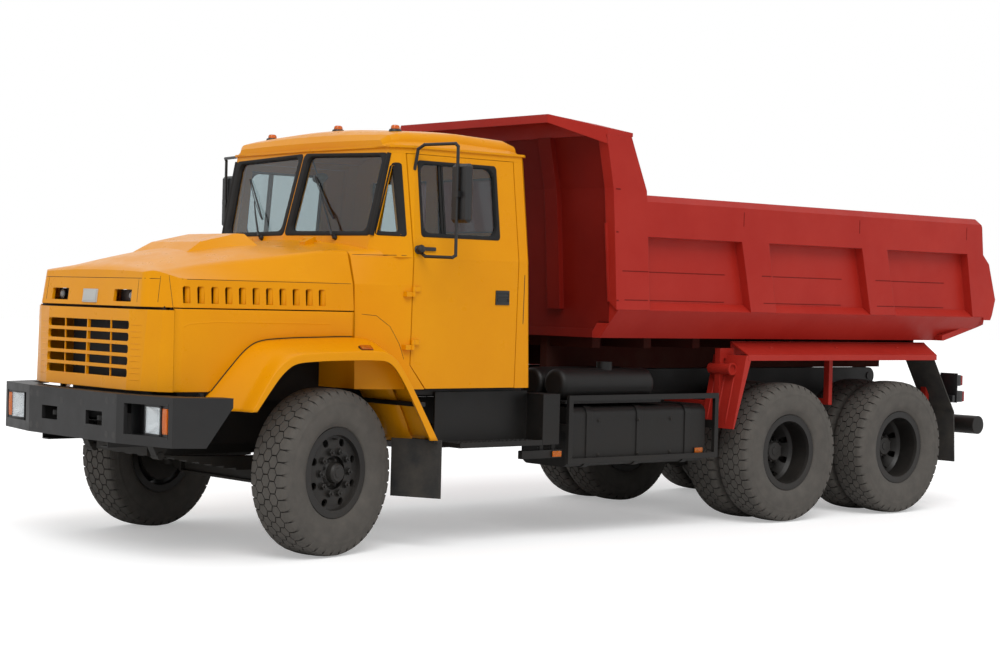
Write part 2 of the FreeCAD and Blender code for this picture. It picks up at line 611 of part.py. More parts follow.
# Engine as one plain block, gearbox and drive shafts
ENGINE_FRONT = behind(-880.0)
ENGINE_REAR = behind(316.0)
ENGINE_HALF = 330.0
ENGINE_LOW = 640.0
ENGINE_TOP = 1480.0
GEARBOX_REAR = behind(1420.0)
GEARBOX_HALF = 200.0
GEARBOX_LOW = 620.0
GEARBOX_TOP = 1010.0
SHAFT_RADIUS = 36.0


def engine():
    """A plain block with one cross foot between the rails' webs."""
    web_in = RAIL_OUT - RAIL_WALL
    foot_x = ENGINE_FRONT - 300.0
    foot = box(foot_x - 70.0, foot_x + 70.0, -web_in, web_in, FRAME_TOP - 120.0, FRAME_TOP - 50.0)
    return fuse([box(ENGINE_REAR, ENGINE_FRONT, -ENGINE_HALF, ENGINE_HALF, ENGINE_LOW, ENGINE_TOP), foot])


def gearbox():
    outline = [(ENGINE_REAR, GEARBOX_LOW - 10.0), (ENGINE_REAR, GEARBOX_TOP + 60.0), (ENGINE_REAR - 260.0, GEARBOX_TOP),
               (GEARBOX_REAR, GEARBOX_TOP - 60.0), (GEARBOX_REAR, GEARBOX_LOW + 60.0), (ENGINE_REAR - 260.0, GEARBOX_LOW)]
    body = prism(outline, "y", -GEARBOX_HALF, GEARBOX_HALF)
    flange = rod(vec(GEARBOX_REAR, 0, GEARBOX_Z), vec(GEARBOX_REAR - 60.0, 0, GEARBOX_Z), 75.0)
    return fuse([body, flange])


GEARBOX_Z = 780.0


def drive_shafts():
    """Front shaft from gearbox to middle axle, short shaft on to the rear axle."""
    first = vec(GEARBOX_REAR - 60.0, 0, GEARBOX_Z)
    second = vec(MIDDLE_AXLE_X + NOSE_REACH, 0, PINION_Z)
    third = vec(MIDDLE_AXLE_X - NOSE_REACH + 60.0, 0, PINION_Z)
    fourth = vec(REAR_AXLE_X + NOSE_REACH, 0, PINION_Z)
    shapes = []
    for a, b in ((first, second), (third, fourth)):
        shapes.append(rod(a + vec(-14.0, 0, 0), b + vec(14.0, 0, 0), SHAFT_RADIUS)
                      .fuse(rod(a, a + vec(-16.0, 0, 0), 72.0)).fuse(rod(b, b + vec(16.0, 0, 0), 72.0)))
    return shapes


keep("engine_block", engine())
keep("drive_train", [gearbox()] + drive_shafts())

# Bumper: straight middle, swept ends, tapered sides
BUMPER_TOP = 1065.0
BUMPER_LOW = 750.0
BUMPER_DEPTH = 150.0
BUMPER_SWEEP_Y = 580.0
BUMPER_CORNER_Y = 1100.0
BUMPER_CORNER_BACK = 95.0
BUMPER_SIDE_BACK = 440.0
LAMP_POCKET = (650.0, 1060.0, 815.0, 1010.0)


def bumper_plan(inset):
    """Plan of the bumper's outer face, or of a face behind it."""
    front = behind(-FRONT_OVERHANG)
    corner = front - BUMPER_CORNER_BACK
    rear = front - BUMPER_SIDE_BACK
    half = BUMPER_CORNER_Y - inset * 0.6
    return [(front - inset, -BUMPER_SWEEP_Y), (front - inset, BUMPER_SWEEP_Y), (corner - inset, half),
            (rear - 1, HALF_WIDTH - inset), (rear - 1, -HALF_WIDTH + inset), (corner - inset, -half)]


def bumper():
    front = behind(-FRONT_OVERHANG)
    corner = front - BUMPER_CORNER_BACK
    rear = front - BUMPER_SIDE_BACK
    outer = prism(bumper_plan(0.0), "z", BUMPER_LOW, BUMPER_TOP)
    inner = prism(bumper_plan(BUMPER_WALL), "z", BUMPER_LOW - 1, BUMPER_TOP - 18.0)
    shell = outer.cut(inner)
    # the top flange is only as deep as the bumper's section
    keep_zone = prism([
        (front + 1, -HALF_WIDTH - 1), (front + 1, HALF_WIDTH + 1), (rear, HALF_WIDTH + 1), (rear, HALF_WIDTH - 120.0),
        (corner - BUMPER_DEPTH, BUMPER_CORNER_Y - 90.0), (front - BUMPER_DEPTH, BUMPER_SWEEP_Y),
        (front - BUMPER_DEPTH, -BUMPER_SWEEP_Y), (corner - BUMPER_DEPTH, -BUMPER_CORNER_Y + 90.0),
        (rear, -HALF_WIDTH + 120.0), (rear, -HALF_WIDTH - 1),
    ], "z", BUMPER_LOW, BUMPER_TOP)
    shell = shell.common(keep_zone)
    # the side plates' rear edges slope forward to the bottom
    slope = prism([(rear - 5, BUMPER_LOW - 1), (rear + 150, BUMPER_LOW - 1), (rear, BUMPER_TOP - 60), (rear - 5, BUMPER_TOP - 60)],
                  "y", -HALF_WIDTH - 1, HALF_WIDTH + 1)
    y0, y1, z0, z1 = LAMP_POCKET
    holes = []
    for s in (1, -1):
        holes.append(box(corner - 60, front + 1, s * y0, s * y1, z0, z1))
        holes.append(box(front - 60, front + 1, s * 190.0, s * 400.0, 850.0, 940.0))
    return shell.cut(Part.Compound([slope] + holes))


keep("front_bumper", bumper())


# Nose: wrapped grille panel with slots
NOSE_LOW = 1085.0
NOSE_TOP = 1604.0
PANEL_WALL = 22.0
GRILLE_HALF = 530.0
GRILLE_DIVIDER = 6.0
SLOT_CORNER = 12.0
GRILLE_SLOTS = 5
GRILLE_LOW = 1165.0
GRILLE_PITCH = 77.0
GRILLE_SLOT = 54.0
NOSE_SEAM_X = 1030.0
NOSE_SEAM_Y = 880.0


def nose_outline(z, inset, front, corner_x, corner_y):
    """Plan of the wrapped panel at one height: flat front, bent corners, sides to the seam."""
    side = NOSE_SEAM_Y - inset
    seam = ahead(NOSE_SEAM_X - (60.0 if inset else 0.0))
    left = [(ahead(front) - inset, GRILLE_HALF), (ahead(corner_x) - inset, corner_y),
            (ahead(corner_x - 45.0) - inset * 0.8, corner_y + 0.6 * (NOSE_SEAM_Y - corner_y) - inset * 0.6), (seam, side)]
    points = left + [(x, -y) for x, y in reversed(left)]
    corners = [vec(x, y, z) for x, y in points]
    return Part.makePolygon(corners + corners[:1])


def nose_solid(inset, grow):
    low = nose_outline(NOSE_LOW - grow, inset, 1165.0, 1140.0, 660.0)
    high = nose_outline(NOSE_TOP + grow, inset, 1150.0, 1120.0, 700.0)
    return Part.makeLoft([low, high], True, True, False)


def nose_grille():
    shell = nose_solid(0.0, 0.0).cut(nose_solid(PANEL_WALL, 5.0))
    tools = []
    for i in range(GRILLE_SLOTS):
        z = GRILLE_LOW + i * GRILLE_PITCH
        top = z + GRILLE_SLOT
        end = GRILLE_HALF - SLOT_CORNER
        slot = [(GRILLE_DIVIDER, z), (end, z), (GRILLE_HALF, z + SLOT_CORNER), (GRILLE_HALF, top - SLOT_CORNER), (end, top),
                (GRILLE_DIVIDER, top)]
        tools += both_sides(prism(slot, "x", ahead(1000.0), ahead(1300.0)))
    return shell.cut(Part.Compound(tools))


keep("nose_grille", nose_grille())

RADIATOR_HALF = 440.0
RADIATOR_X = 1010.0
keep("radiator", box(ahead(RADIATOR_X - 90.0), ahead(RADIATOR_X), -RADIATOR_HALF, RADIATOR_HALF, FRAME_TOP, 1560.0))


def head_lamp():
    y0, y1, z0, z1 = LAMP_POCKET
    back = ahead(FRONT_OVERHANG - BUMPER_CORNER_BACK) - 60.0
    housing = box(back, ahead(FRONT_OVERHANG), y0 - 14.0, y1 + 10.0, z0 - 14.0, z1 + 14.0)
    housing = housing.cut(box(back + 16.0, ahead(FRONT_OVERHANG) + 1.0, y0 - 2.0, y1 + 1.0, z0 - 2.0, z1 + 2.0))
    housing = housing.common(prism(bumper_plan(BUMPER_WALL + RUN_GAP), "z", z0 - 20.0, z1 + 20.0))
    lens = box(back + 10.0, back + 66.0, 800.0, 975.0, z0 + 14.0, z1 - 14.0)
    indicator = box(back + 10.0, back + 56.0, 985.0, 1052.0, z0 + 14.0, z1 - 14.0)
    return fuse([housing, lens, indicator])


HEAD_LAMP = head_lamp()


# Crowned section across the truck: straight sides, rounded shoulders, arched top
def crowned(x, half_low, half_top, low, shoulder, crown, corner, inset=0.0):
    wl, wt = half_low - inset, half_top - inset
    sh, cr = shoulder - inset, crown - inset
    low = low - (120.0 if inset else 0.0)
    bend = corner * (1 - math.sqrt(0.5))

    def p(y, z):
        return vec(x, y, z)

    edges = [
        Part.LineSegment(p(-wl, low), p(-wt, sh - corner)).toShape(),
        Part.Arc(p(-wt, sh - corner), p(-wt + bend, sh - bend), p(-wt + corner, sh)).toShape(),
        Part.Arc(p(-wt + corner, sh), p(0, cr), p(wt - corner, sh)).toShape(),
        Part.Arc(p(wt - corner, sh), p(wt - bend, sh - bend), p(wt, sh - corner)).toShape(),
        Part.LineSegment(p(wt, sh - corner), p(wl, low)).toShape(),
        Part.LineSegment(p(wl, low), p(-wl, low)).toShape(),
    ]
    return Part.Wire(edges)


# Hood
HOOD_LOW = 1621.0
HOOD_FRONT = 1142.0
HOOD_REAR = -312.0
HOOD_WALL = 22.0
HOOD_CREASE_ROUND = 28.0
LID_SEAM_Z = 1799.0
HOOD_STATIONS = [
    (HOOD_FRONT, 872.0, 690.0, 1812.0, 1822.0),
    (1118.0, 874.0, 694.0, 1838.0, 1852.0),
    (1090.0, 876.0, 698.0, 1850.0, 1874.0),
    (1030.0, 880.0, 704.0, 1857.0, 1898.0),
    (930.0, 885.0, 712.0, 1869.0, 1926.0),
    (780.0, 893.0, 728.0, 1893.0, 1968.0),
    (580.0, 905.0, 762.0, 1921.0, 2012.0),
    (250.0, 924.0, 824.0, 1965.0, 2064.0),
    (HOOD_REAR, 945.0, 872.0, 2022.0, 2098.0),
]
LOUVRES = 11
LOUVRE_FIRST = 945.0
LOUVRE_PITCH = 100.5
LOUVRE_HALF = 25.0
LOUVRE_LOW = 1650.0
LOUVRE_TOP = 1757.0
LOUVRE_CORNER = 9.0
HOOD_PIVOT_X = -317.0
HOOD_PIVOT_Z = 2108.0
HINGE_RADIUS = 13.0
HINGE_PIN = 6.0


def hood_section(x, half, crease_y, crease_z, crown, inset):
    """Upright side up to the lid's seam, a flat leaning in to the crease, then the crowned top."""
    low = HOOD_LOW - (120.0 if inset else 0.0)
    seam = (half - inset, LID_SEAM_Z - 0.3 * inset)
    crease = (crease_y - 0.8 * inset, crease_z - 0.9 * inset)
    top = crown - inset
    fall = 2 * (top - crease[1]) / crease[0]

    def along(dy, dz):
        length = math.hypot(dy, dz)
        return (crease[0] + dy / length * HOOD_CREASE_ROUND, crease[1] + dz / length * HOOD_CREASE_ROUND)

    start = along(seam[0] - crease[0], seam[1] - crease[1])
    end = along(-1.0, fall)
    middle = [0.25 * (start[i] + end[i]) + 0.5 * crease[i] for i in (0, 1)]
    edges = []
    for s in (1, -1):
        side = [vec(x, s * y, z) for y, z in ((half + 18.0 - inset, low), seam, start, middle, end)]
        edges.append([Part.LineSegment(side[0], side[1]).toShape(), Part.LineSegment(side[1], side[2]).toShape(),
                      Part.Arc(side[2], side[3], side[4]).toShape()])
    over = Part.Arc(vec(x, end[0], end[1]), vec(x, 0, top), vec(x, -end[0], end[1])).toShape()
    under = Part.LineSegment(vec(x, -half - 18.0 + inset, low), vec(x, half + 18.0 - inset, low)).toShape()
    return Part.Wire(edges[0] + [over] + edges[1][::-1] + [under])


HOOD_PLAN = [(HOOD_FRONT, 640.0), (1133.0, 672.0), (1112.0, 700.0), (1030.0, 838.0), (1005.0, 868.0), (970.0, 886.0), (-340.0, 970.0)]
HOOD_LEAN_X = 67.0            # back lean of the front face over the plan's height
HOOD_LEAN_Y = 47.0
HOOD_PLAN_TOP = 2200.0


def hood_plan(inset):
    """The hood's outline from above, with bent front corners, leaning in towards the top."""
    wires = []
    for z, lean in ((HOOD_LOW - 150.0, 0.0), (HOOD_LOW, 0.0), (HOOD_PLAN_TOP, 1.0)):
        side = [(ahead(x - inset - lean * HOOD_LEAN_X), y - 0.8 * inset - lean * HOOD_LEAN_Y) for x, y in HOOD_PLAN]
        side[-1] = (ahead(HOOD_PLAN[-1][0]), side[-1][1])
        p = [vec(x, y, z) for x, y in side]
        q = [vec(x, -y, z) for x, y in side]
        edges = [Part.LineSegment(q[0], p[0]).toShape(), Part.Arc(p[0], p[1], p[2]).toShape(), Part.LineSegment(p[2], p[3]).toShape(),
                 Part.Arc(p[3], p[4], p[5]).toShape(), Part.LineSegment(p[5], p[6]).toShape(), Part.LineSegment(p[6], q[6]).toShape(),
                 Part.LineSegment(q[6], q[5]).toShape(), Part.Arc(q[5], q[4], q[3]).toShape(), Part.LineSegment(q[3], q[2]).toShape(),
                 Part.Arc(q[2], q[1], q[0]).toShape()]
        wires.append(Part.Wire(edges))
    return Part.makeLoft(wires, True, True, False)


def hood_solid(inset, front_back=0.0, rear_on=0.0):
    wires = []
    for i, (x, half, crease_y, crease_z, crown) in enumerate(HOOD_STATIONS):
        shift = -front_back if i < 4 else rear_on if i == len(HOOD_STATIONS) - 1 else 0.0
        wires.append(hood_section(ahead(x + shift), half, crease_y, crease_z, crown, inset))
    return Part.makeLoft(wires, True, False, False).common(hood_plan(inset))


def hood_bulge():
    """The raised middle of the hood, widening rearward to an upright end."""
    side = [(720.0, 1920.0), (668.0, 1958.0), (495.0, 2060.0), (200.0, 2126.0), (150.0, 2124.0), (126.0, 2040.0), (120.0, 1920.0)]
    long_shape = prism([(ahead(a), b) for a, b in side], "y", -700.0, 700.0)
    wires = []
    for x, low, top in ((760.0, 400.0, 180.0), (650.0, 400.0, 180.0), (100.0, 670.0, 303.0)):
        corners = [vec(ahead(x), y, z) for y, z in ((-low, 1920.0), (low, 1920.0), (top, 2140.0), (-top, 2140.0))]
        wires.append(Part.makePolygon(corners + corners[:1]))
    return long_shape.common(Part.makeLoft(wires, True, True, False))


def louvre_cutter(x):
    half, corner, top = LOUVRE_HALF, LOUVRE_CORNER, LOUVRE_TOP
    outline = [(x - half, LOUVRE_LOW), (x + half, LOUVRE_LOW), (x + half, top - corner), (x + half - corner, top),
               (x - half + corner, top), (x - half, top - corner)]
    return prism(outline, "y", 700.0, 1100.0)


def hinge_barrel(x, y0, y1, z, radius=HINGE_RADIUS):
    return rod(vec(x, y0, z), vec(x, y1, z), radius)


HOOD_HINGE_Y = 420.0
HOOD_HINGE_HALF = 60.0


def hood():
    shell = hood_solid(0.0).cut(hood_solid(HOOD_WALL, HOOD_WALL, -5.0))
    shell = shell.fuse(hood_bulge().cut(hood_solid(HOOD_WALL, HOOD_WALL, -5.0)))
    tools = []
    for i in range(LOUVRES):
        cutter = louvre_cutter(ahead(LOUVRE_FIRST - i * LOUVRE_PITCH))
        tools += both_sides(cutter)
    for s in (1, -1):
        tools.append(box(ahead(1000.0), ahead(1300.0), s * 300.0, s * 520.0, 1650.0, 1728.0))
    shell = shell.cut(Part.Compound(tools))
    x, z = ahead(HOOD_PIVOT_X), HOOD_PIVOT_Z
    arms = []
    for s in (1, -1):
        y0, y1 = s * HOOD_HINGE_Y, s * (HOOD_HINGE_Y + HOOD_HINGE_HALF)
        leaf = prism([(x, z - HINGE_RADIUS), (x, z + HINGE_RADIUS), (x + 80.0, 2085.0), (x + 80.0, 2030.0), (x + 6.0, 2040.0)],
                     "y", min(y0, y1), max(y0, y1))
        arms.append(fuse([hinge_barrel(x, y0, y1, z), leaf]).cut(hinge_barrel(x, y0, y1, z, HINGE_PIN + RUN_GAP)))
    clear = [hinge_barrel(x, s * (HOOD_HINGE_Y - HOOD_HINGE_HALF - 4.0), s * (HOOD_HINGE_Y - 1.0), z, HINGE_RADIUS + 6.0)
             for s in (1, -1)]
    return fuse([shell.cut(Part.Compound(clear))] + arms)


keep("hood", hood())

# Fenders: flared arch sheet, outer lip, and the nose's side panel above it
FENDER_WALL = 24.0
FENDER_IN = 935.0
FENDER_ROOT = FENDER_IN - 45.0
FENDER_END_Z = 755.0
FENDER_MID = 1120.0
FENDER_NOSE_Z = 975.0
FENDER_SEAM_LINE = [(876.0, FENDER_NOSE_Z), (752.0, 1114.0), (642.0, 1237.0), (530.0, 1353.0), (439.0, 1407.0), (299.0, 1428.0),
                    (0.0, 1440.0), (-345.0, 1443.0), (-440.0, 1415.0), (-530.0, 1335.0), (-640.0, 1160.0), (-760.0, 960.0),
                    (-866.0, 735.0)]
FENDER_MID_LINE = [(692.0, FENDER_NOSE_Z), (614.0, 1095.0), (540.0, 1205.0), (452.0, 1318.0), (390.0, 1362.0), (290.0, 1385.0),
                   (0.0, 1400.0), (-340.0, 1403.0), (-424.0, 1380.0), (-516.0, 1303.0), (-624.0, 1140.0), (-748.0, 940.0),
                   (-862.0, 735.0)]
FENDER_OUT_LINE = [(676.0, FENDER_NOSE_Z), (592.0, 1105.0), (512.0, 1220.0), (428.0, 1295.0), (360.0, 1326.0), (260.0, 1342.0),
                   (0.0, 1354.0), (-340.0, 1357.0), (-404.0, 1341.0), (-484.0, 1284.0), (-600.0, 1130.0), (-730.0, 925.0),
                   (-850.0, 735.0)]
ARCH_LOW = [(636.0, FENDER_NOSE_Z), (511.0, 1146.0), (422.0, 1241.0), (341.0, 1277.0), (166.0, 1294.0), (-74.0, 1300.0),
            (-358.0, 1296.0), (-434.0, 1266.0), (-512.0, 1176.0), (-606.0, 1034.0), (-714.0, 851.0), (-778.0, 735.0)]


def spline(points, y):
    curve = Part.BSplineCurve()
    curve.interpolate([vec(ahead(a), y, b) for a, b in points])
    return curve.toShape()


def arch_wire(points, drop, y):
    """A smooth arch line at one width, lowered by a drop and closed well below it."""
    moved = offset_line(points, drop) if drop else points
    first, last, low = moved[0], moved[-1], 300.0
    a, b = vec(ahead(first[0]), y, first[1]), vec(ahead(last[0]), y, last[1])
    return Part.Wire([spline(moved, y), Part.LineSegment(b, vec(b.x, y, low)).toShape(),
                      Part.LineSegment(vec(b.x, y, low), vec(a.x, y, low)).toShape(),
                      Part.LineSegment(vec(a.x, y, low), a).toShape()])


def arch_prism(points, drop, y0, y1):
    return Part.Face(arch_wire(points, drop, y0)).extrude(vec(0, y1 - y0, 0))


def fender_body(drop, y_root, y_out):
    """The fender's outer face: a level flange under the body's side, then falling out to the lip."""
    lines = ((FENDER_SEAM_LINE, y_root), (FENDER_SEAM_LINE, FENDER_IN), (FENDER_MID_LINE, FENDER_MID),
             (FENDER_OUT_LINE, y_out))
    return Part.makeLoft([arch_wire(points, drop, y) for points, y in lines], True, True, False)


def offset_line(points, distance):
    """Moves each point of an open line inward, square to the line through its neighbours."""
    moved = []
    for i, (x, z) in enumerate(points):
        ax, az = points[max(i - 1, 0)]
        bx, bz = points[min(i + 1, len(points) - 1)]
        length = math.hypot(bx - ax, bz - az)
        moved.append((x - (az - bz) / length * distance, z + (ax - bx) / length * distance * -1))
    return moved


def fender():
    outer = fender_body(0.0, FENDER_ROOT, HALF_WIDTH)
    under = fender_body(FENDER_WALL, FENDER_ROOT - 1.0, HALF_WIDTH - FENDER_WALL)
    opening = arch_prism(ARCH_LOW, 0.0, HALF_WIDTH - 200.0, HALF_WIDTH + 5.0)
    level = box(ahead(-1000.0), ahead(1200.0), FENDER_ROOT - 10.0, HALF_WIDTH + 10.0, 200.0, FENDER_END_Z)
    front_level = box(ahead(300.0), ahead(1200.0), FENDER_ROOT - 10.0, HALF_WIDTH + 10.0, 200.0, FENDER_NOSE_Z)
    flare = outer.cut(Part.Compound([under])).cut(Part.Compound([opening])).cut(Part.Compound([level, front_level]))
    plan = [(NOSE_SEAM_X - RUN_GAP, NOSE_SEAM_Y), (800.0, 915.0), (250.0, 945.0), (HOOD_REAR, 968.0)]
    inner = [(a, b - PANEL_WALL) for a, b in reversed(plan)]
    panel = prism([(ahead(a), b) for a, b in plan + inner], "z", NOSE_LOW, HOOD_LOW - SEAM_GAP)
    panel = panel.cut(arch_prism(FENDER_SEAM_LINE, FENDER_WALL / 2, 800.0, 1100.0))
    bars = [
        box(ahead(815.0), ahead(865.0), RAIL_OUT, 960.0, FENDER_NOSE_Z, FENDER_NOSE_Z + 26.0),
        box(ahead(820.0), ahead(850.0), 880.0, 925.0, FENDER_NOSE_Z, 1130.0),
        box(ahead(-728.0), ahead(-655.0), RAIL_OUT, HALF_WIDTH - 5.0, 985.0, 1015.0),
    ]
    return fuse([flare, panel] + bars)


def front_flap():
    inner, outer = HALF_WIDTH - 350.0, HALF_WIDTH
    plan = [(-712.0, inner), (-872.0, outer - 5.0), (-860.0, outer), (-700.0, inner + 5.0)]
    top = FENDER_END_Z - RUN_GAP
    flap = prism([(ahead(a), b) for a, b in plan], "z", 357.0, top)
    foot = box(ahead(-852.0), ahead(-812.0), outer - 160.0, outer - 20.0, top - 14.0, top)
    return flap.fuse(foot)


# Cab: hollow shell from one outline, split where the panels meet
CAB_WALL = 50.0
CAB_LOW = 1096.0
CAB_SPLIT = 1990.0
CAB_EAVE = 2745.0
CAB_FRONT = -324.0
CAB_REAR = -1775.0
DOOR_FRONT = -690.0
DOOR_REAR = -1637.0
DOOR_TOP = 2700.0


def plan_wire(points, inset, z):
    """Closed plan from one side's points, front first, mirrored. The inset is the wall."""
    moved = []
    middle = (CAB_FRONT + CAB_REAR) / 2
    for x, y in points:
        shift = inset if x < middle else -inset
        moved.append((ahead(x + shift), max(y - inset, 0.0)))
    outline = moved + [(a, -b) for a, b in reversed(moved) if b > 0.0]
    corners = [vec(a, b, z) for a, b in outline]
    return Part.makePolygon(corners + corners[:1])


LOWER_LOW = [(CAB_FRONT, 968.0), (DOOR_FRONT, 1100.0), (-1770.0, 1100.0), (-1823.0, 1045.0)]
LOWER_TOP = [(CAB_FRONT, 890.0), (DOOR_FRONT, 1120.0), (-1720.0, 1120.0), (CAB_REAR, 1065.0)]
CAB_BEND = 1800.0
BEND_FRONT_HALF = 948.0
UPPER_LOW = [(-352.0, 0.0), (-444.0, 900.0), (-600.0, 1082.0), (DOOR_FRONT, 1120.0), (-1720.0, 1120.0), (CAB_REAR, 1065.0)]
UPPER_TOP = [(-563.0, 0.0), (-607.0, 935.0), (-660.0, 990.0), (-750.0, 1025.0), (-1720.0, 1025.0), (CAB_REAR, 975.0)]
COWL_STATIONS = [
    (CAB_FRONT, 968.0, 902.0, 2025.0, 2098.0, 80.0),
    (-480.0, 1030.0, 975.0, 2045.0, 2118.0, 70.0),
    (-640.0, 1096.0, 1050.0, 2060.0, 2125.0, 60.0),
]
ROOF_STATIONS = [
    (-585.0, 915.0, 870.0, 2790.0, 2802.0, 30.0),
    (-625.0, 985.0, 925.0, 2828.0, 2852.0, 50.0),
    (-680.0, 1010.0, 946.0, 2845.0, 2880.0, 62.0),
    (-780.0, 1024.0, 956.0, 2858.0, 2902.0, 70.0),
    (-1200.0, 1030.0, 962.0, 2872.0, 2925.0, 70.0),
    (-1640.0, 1020.0, 952.0, 2856.0, 2900.0, 70.0),
    (-1745.0, 990.0, 930.0, 2826.0, 2856.0, 50.0),
    (-1778.0, 940.0, 895.0, 2790.0, 2806.0, 30.0),
]
ROOF_WALL = 40.0
DOME_LOW = CAB_SPLIT - 140.0


def crowned_loft(stations, low, inset):
    """Sections along the truck, joined. The ends move in with the wall."""
    wires = []
    last = len(stations) - 1
    for i, (x, half_low, half_top, shoulder, crown, corner) in enumerate(stations):
        shift = -inset if i == 0 else inset if i == last else 0.0
        wires.append(crowned(ahead(x + shift), half_low, half_top, low, shoulder, crown, corner, inset))
    return Part.makeLoft(wires, True, True, False)


def plan_loft(levels, inset):
    """A solid through plans, each at its height. With an inset it runs past both ends, to cut a way through."""
    past = 40.0 if inset else 0.0
    wires = [plan_wire(plan, inset, z) for plan, z in levels]
    solid = Part.makeLoft(wires, True, True, False)
    if past:
        ends = [Part.Face(wires[0]).extrude(vec(0, 0, -past)), Part.Face(wires[-1]).extrude(vec(0, 0, past))]
        solid = solid.multiFuse(ends)
    return solid


def lower_bend():
    """The lower body's plan at the bend: straight between low and top, except at the cowl's corner."""
    share = (CAB_BEND - CAB_LOW) / (CAB_SPLIT - CAB_LOW)
    plan = [(a + share * (c - a), b + share * (d - b)) for (a, b), (c, d) in zip(LOWER_LOW, LOWER_TOP)]
    plan[0] = (CAB_FRONT, BEND_FRONT_HALF)
    return plan


def lower_solid(inset):
    return plan_loft([(LOWER_LOW, CAB_LOW), (lower_bend(), CAB_BEND), (LOWER_TOP, CAB_SPLIT)], inset)


def upper_solid(inset):
    return plan_loft([(UPPER_LOW, CAB_SPLIT), (UPPER_TOP, CAB_EAVE)], inset)


BUMPER_REAR = ahead(FRONT_OVERHANG - BUMPER_SIDE_BACK) - RUN_GAP
BEHIND_BUMPER = box(BUMPER_REAR, FRAME_FRONT, HALF_WIDTH - 250.0, HALF_WIDTH + 1.0, BUMPER_LOW, BUMPER_TOP + RUN_GAP)
FENDER = fender().cut(Part.Compound([lower_solid(-RUN_GAP), BEHIND_BUMPER]))
keep("front_fenders", [FENDER, mirrored(FENDER)])

LOWER_SHELL = lower_solid(0.0).cut(lower_solid(CAB_WALL))
UPPER_SHELL = upper_solid(0.0).cut(upper_solid(CAB_WALL))
GLASS_OUT = 20.0
GLASS_WALL = 6.0
GLASS_SHEET = upper_solid(GLASS_OUT).cut(upper_solid(GLASS_OUT + GLASS_WALL))

DOOR_OUTLINE = [(DOOR_FRONT, DOOR_TOP), (DOOR_FRONT, 1260.0), (-828.0, CAB_LOW), (DOOR_REAR, CAB_LOW), (DOOR_REAR, DOOR_TOP)]
DOOR_WINDOW = [(-772.0, 2145.0), (-1462.0, 2145.0), (-1462.0, 2648.0), (-772.0, 2648.0)]


def door_prism(gap):
    """The door's outline pushed through the left wall, shrunk or grown by a gap."""
    middle_x = (DOOR_FRONT + DOOR_REAR) / 2
    middle_z = (DOOR_TOP + CAB_LOW) / 2
    points = []
    for x, z in DOOR_OUTLINE:
        points.append((ahead(x + (gap if x > middle_x else -gap)), z + (gap if z > middle_z else 0.0 if z > CAB_LOW else -gap)))
    return prism(points, "y", 880.0, 1300.0)


def window_prism(outline, y0, y1):
    return prism([(ahead(a), b) for a, b in outline], "y", y0, y1)


PANE_FRONT = [(50.0, 2155.0), (855.0, 2150.0), (880.0, 2690.0), (50.0, 2712.0)]
QUARTER = [(-505.0, 2145.0), (-640.0, 2145.0), (-640.0, 2610.0), (-610.0, 2615.0)]
PANE_REAR = [(60.0, 2200.0), (760.0, 2200.0), (760.0, 2600.0), (60.0, 2600.0)]


def front_panes():
    return both_sides(prism(PANE_FRONT, "x", ahead(-800.0), ahead(-340.0)))


def quarter_panes():
    return both_sides(window_prism(QUARTER, 900.0, 1200.0))


def rear_panes():
    return both_sides(prism(PANE_REAR, "x", ahead(-1900.0), ahead(-1650.0)))


FAR = 4000.0


def zone(x0, x1, z0, z1):
    return box(x0, x1, -FAR / 2, FAR / 2, z0, z1)


POST_X = ahead((DOOR_FRONT + DOOR_REAR) / 2)
DOOR_HINGE_Y = 1129.0
DOOR_HINGE_X = ahead(DOOR_FRONT)
DOOR_HINGE_Z = [1400.0, 1760.0]
KNUCKLE_HALF = 35.0


def upright(z0, z1, radius):
    return Part.makeCylinder(radius, z1 - z0, vec(DOOR_HINGE_X, DOOR_HINGE_Y, z0))


def hinge_fixed(z):
    """Lower knuckle with its pin and a leaf to the cowl."""
    leaf = box(DOOR_HINGE_X, DOOR_HINGE_X + 60.0, 1085.0, DOOR_HINGE_Y, z - KNUCKLE_HALF, z - 1.0)
    return [upright(z - KNUCKLE_HALF, z - 1.0, HINGE_RADIUS), upright(z - KNUCKLE_HALF, z + KNUCKLE_HALF, HINGE_PIN), leaf]


def hinge_moving(z):
    leaf = box(DOOR_HINGE_X - 60.0, DOOR_HINGE_X, 1090.0, DOOR_HINGE_Y, z, z + KNUCKLE_HALF)
    return [upright(z, z + KNUCKLE_HALF, HINGE_RADIUS), leaf]


DOOR_CUTS = both_sides(door_prism(SEAM_GAP / 2))


def hood_hinge_fixed():
    """The cowl's halves of the hood hinges, with the pins."""
    x, z = ahead(HOOD_PIVOT_X), HOOD_PIVOT_Z
    parts = []
    for s in (1, -1):
        y0, y1 = s * (HOOD_HINGE_Y - HOOD_HINGE_HALF), s * (HOOD_HINGE_Y - 1.0)
        parts.append(hinge_barrel(x, y0, y1, z))
        leaf = [(x, z - HINGE_RADIUS), (x, z + HINGE_RADIUS), (x - 70.0, 2098.0), (x - 70.0, 2060.0), (x - 8.0, 2060.0)]
        parts.append(prism(leaf, "y", min(y0, y1), max(y0, y1)))
        parts.append(hinge_barrel(x, y0, s * (HOOD_HINGE_Y + HOOD_HINGE_HALF), z, HINGE_PIN))
    return parts


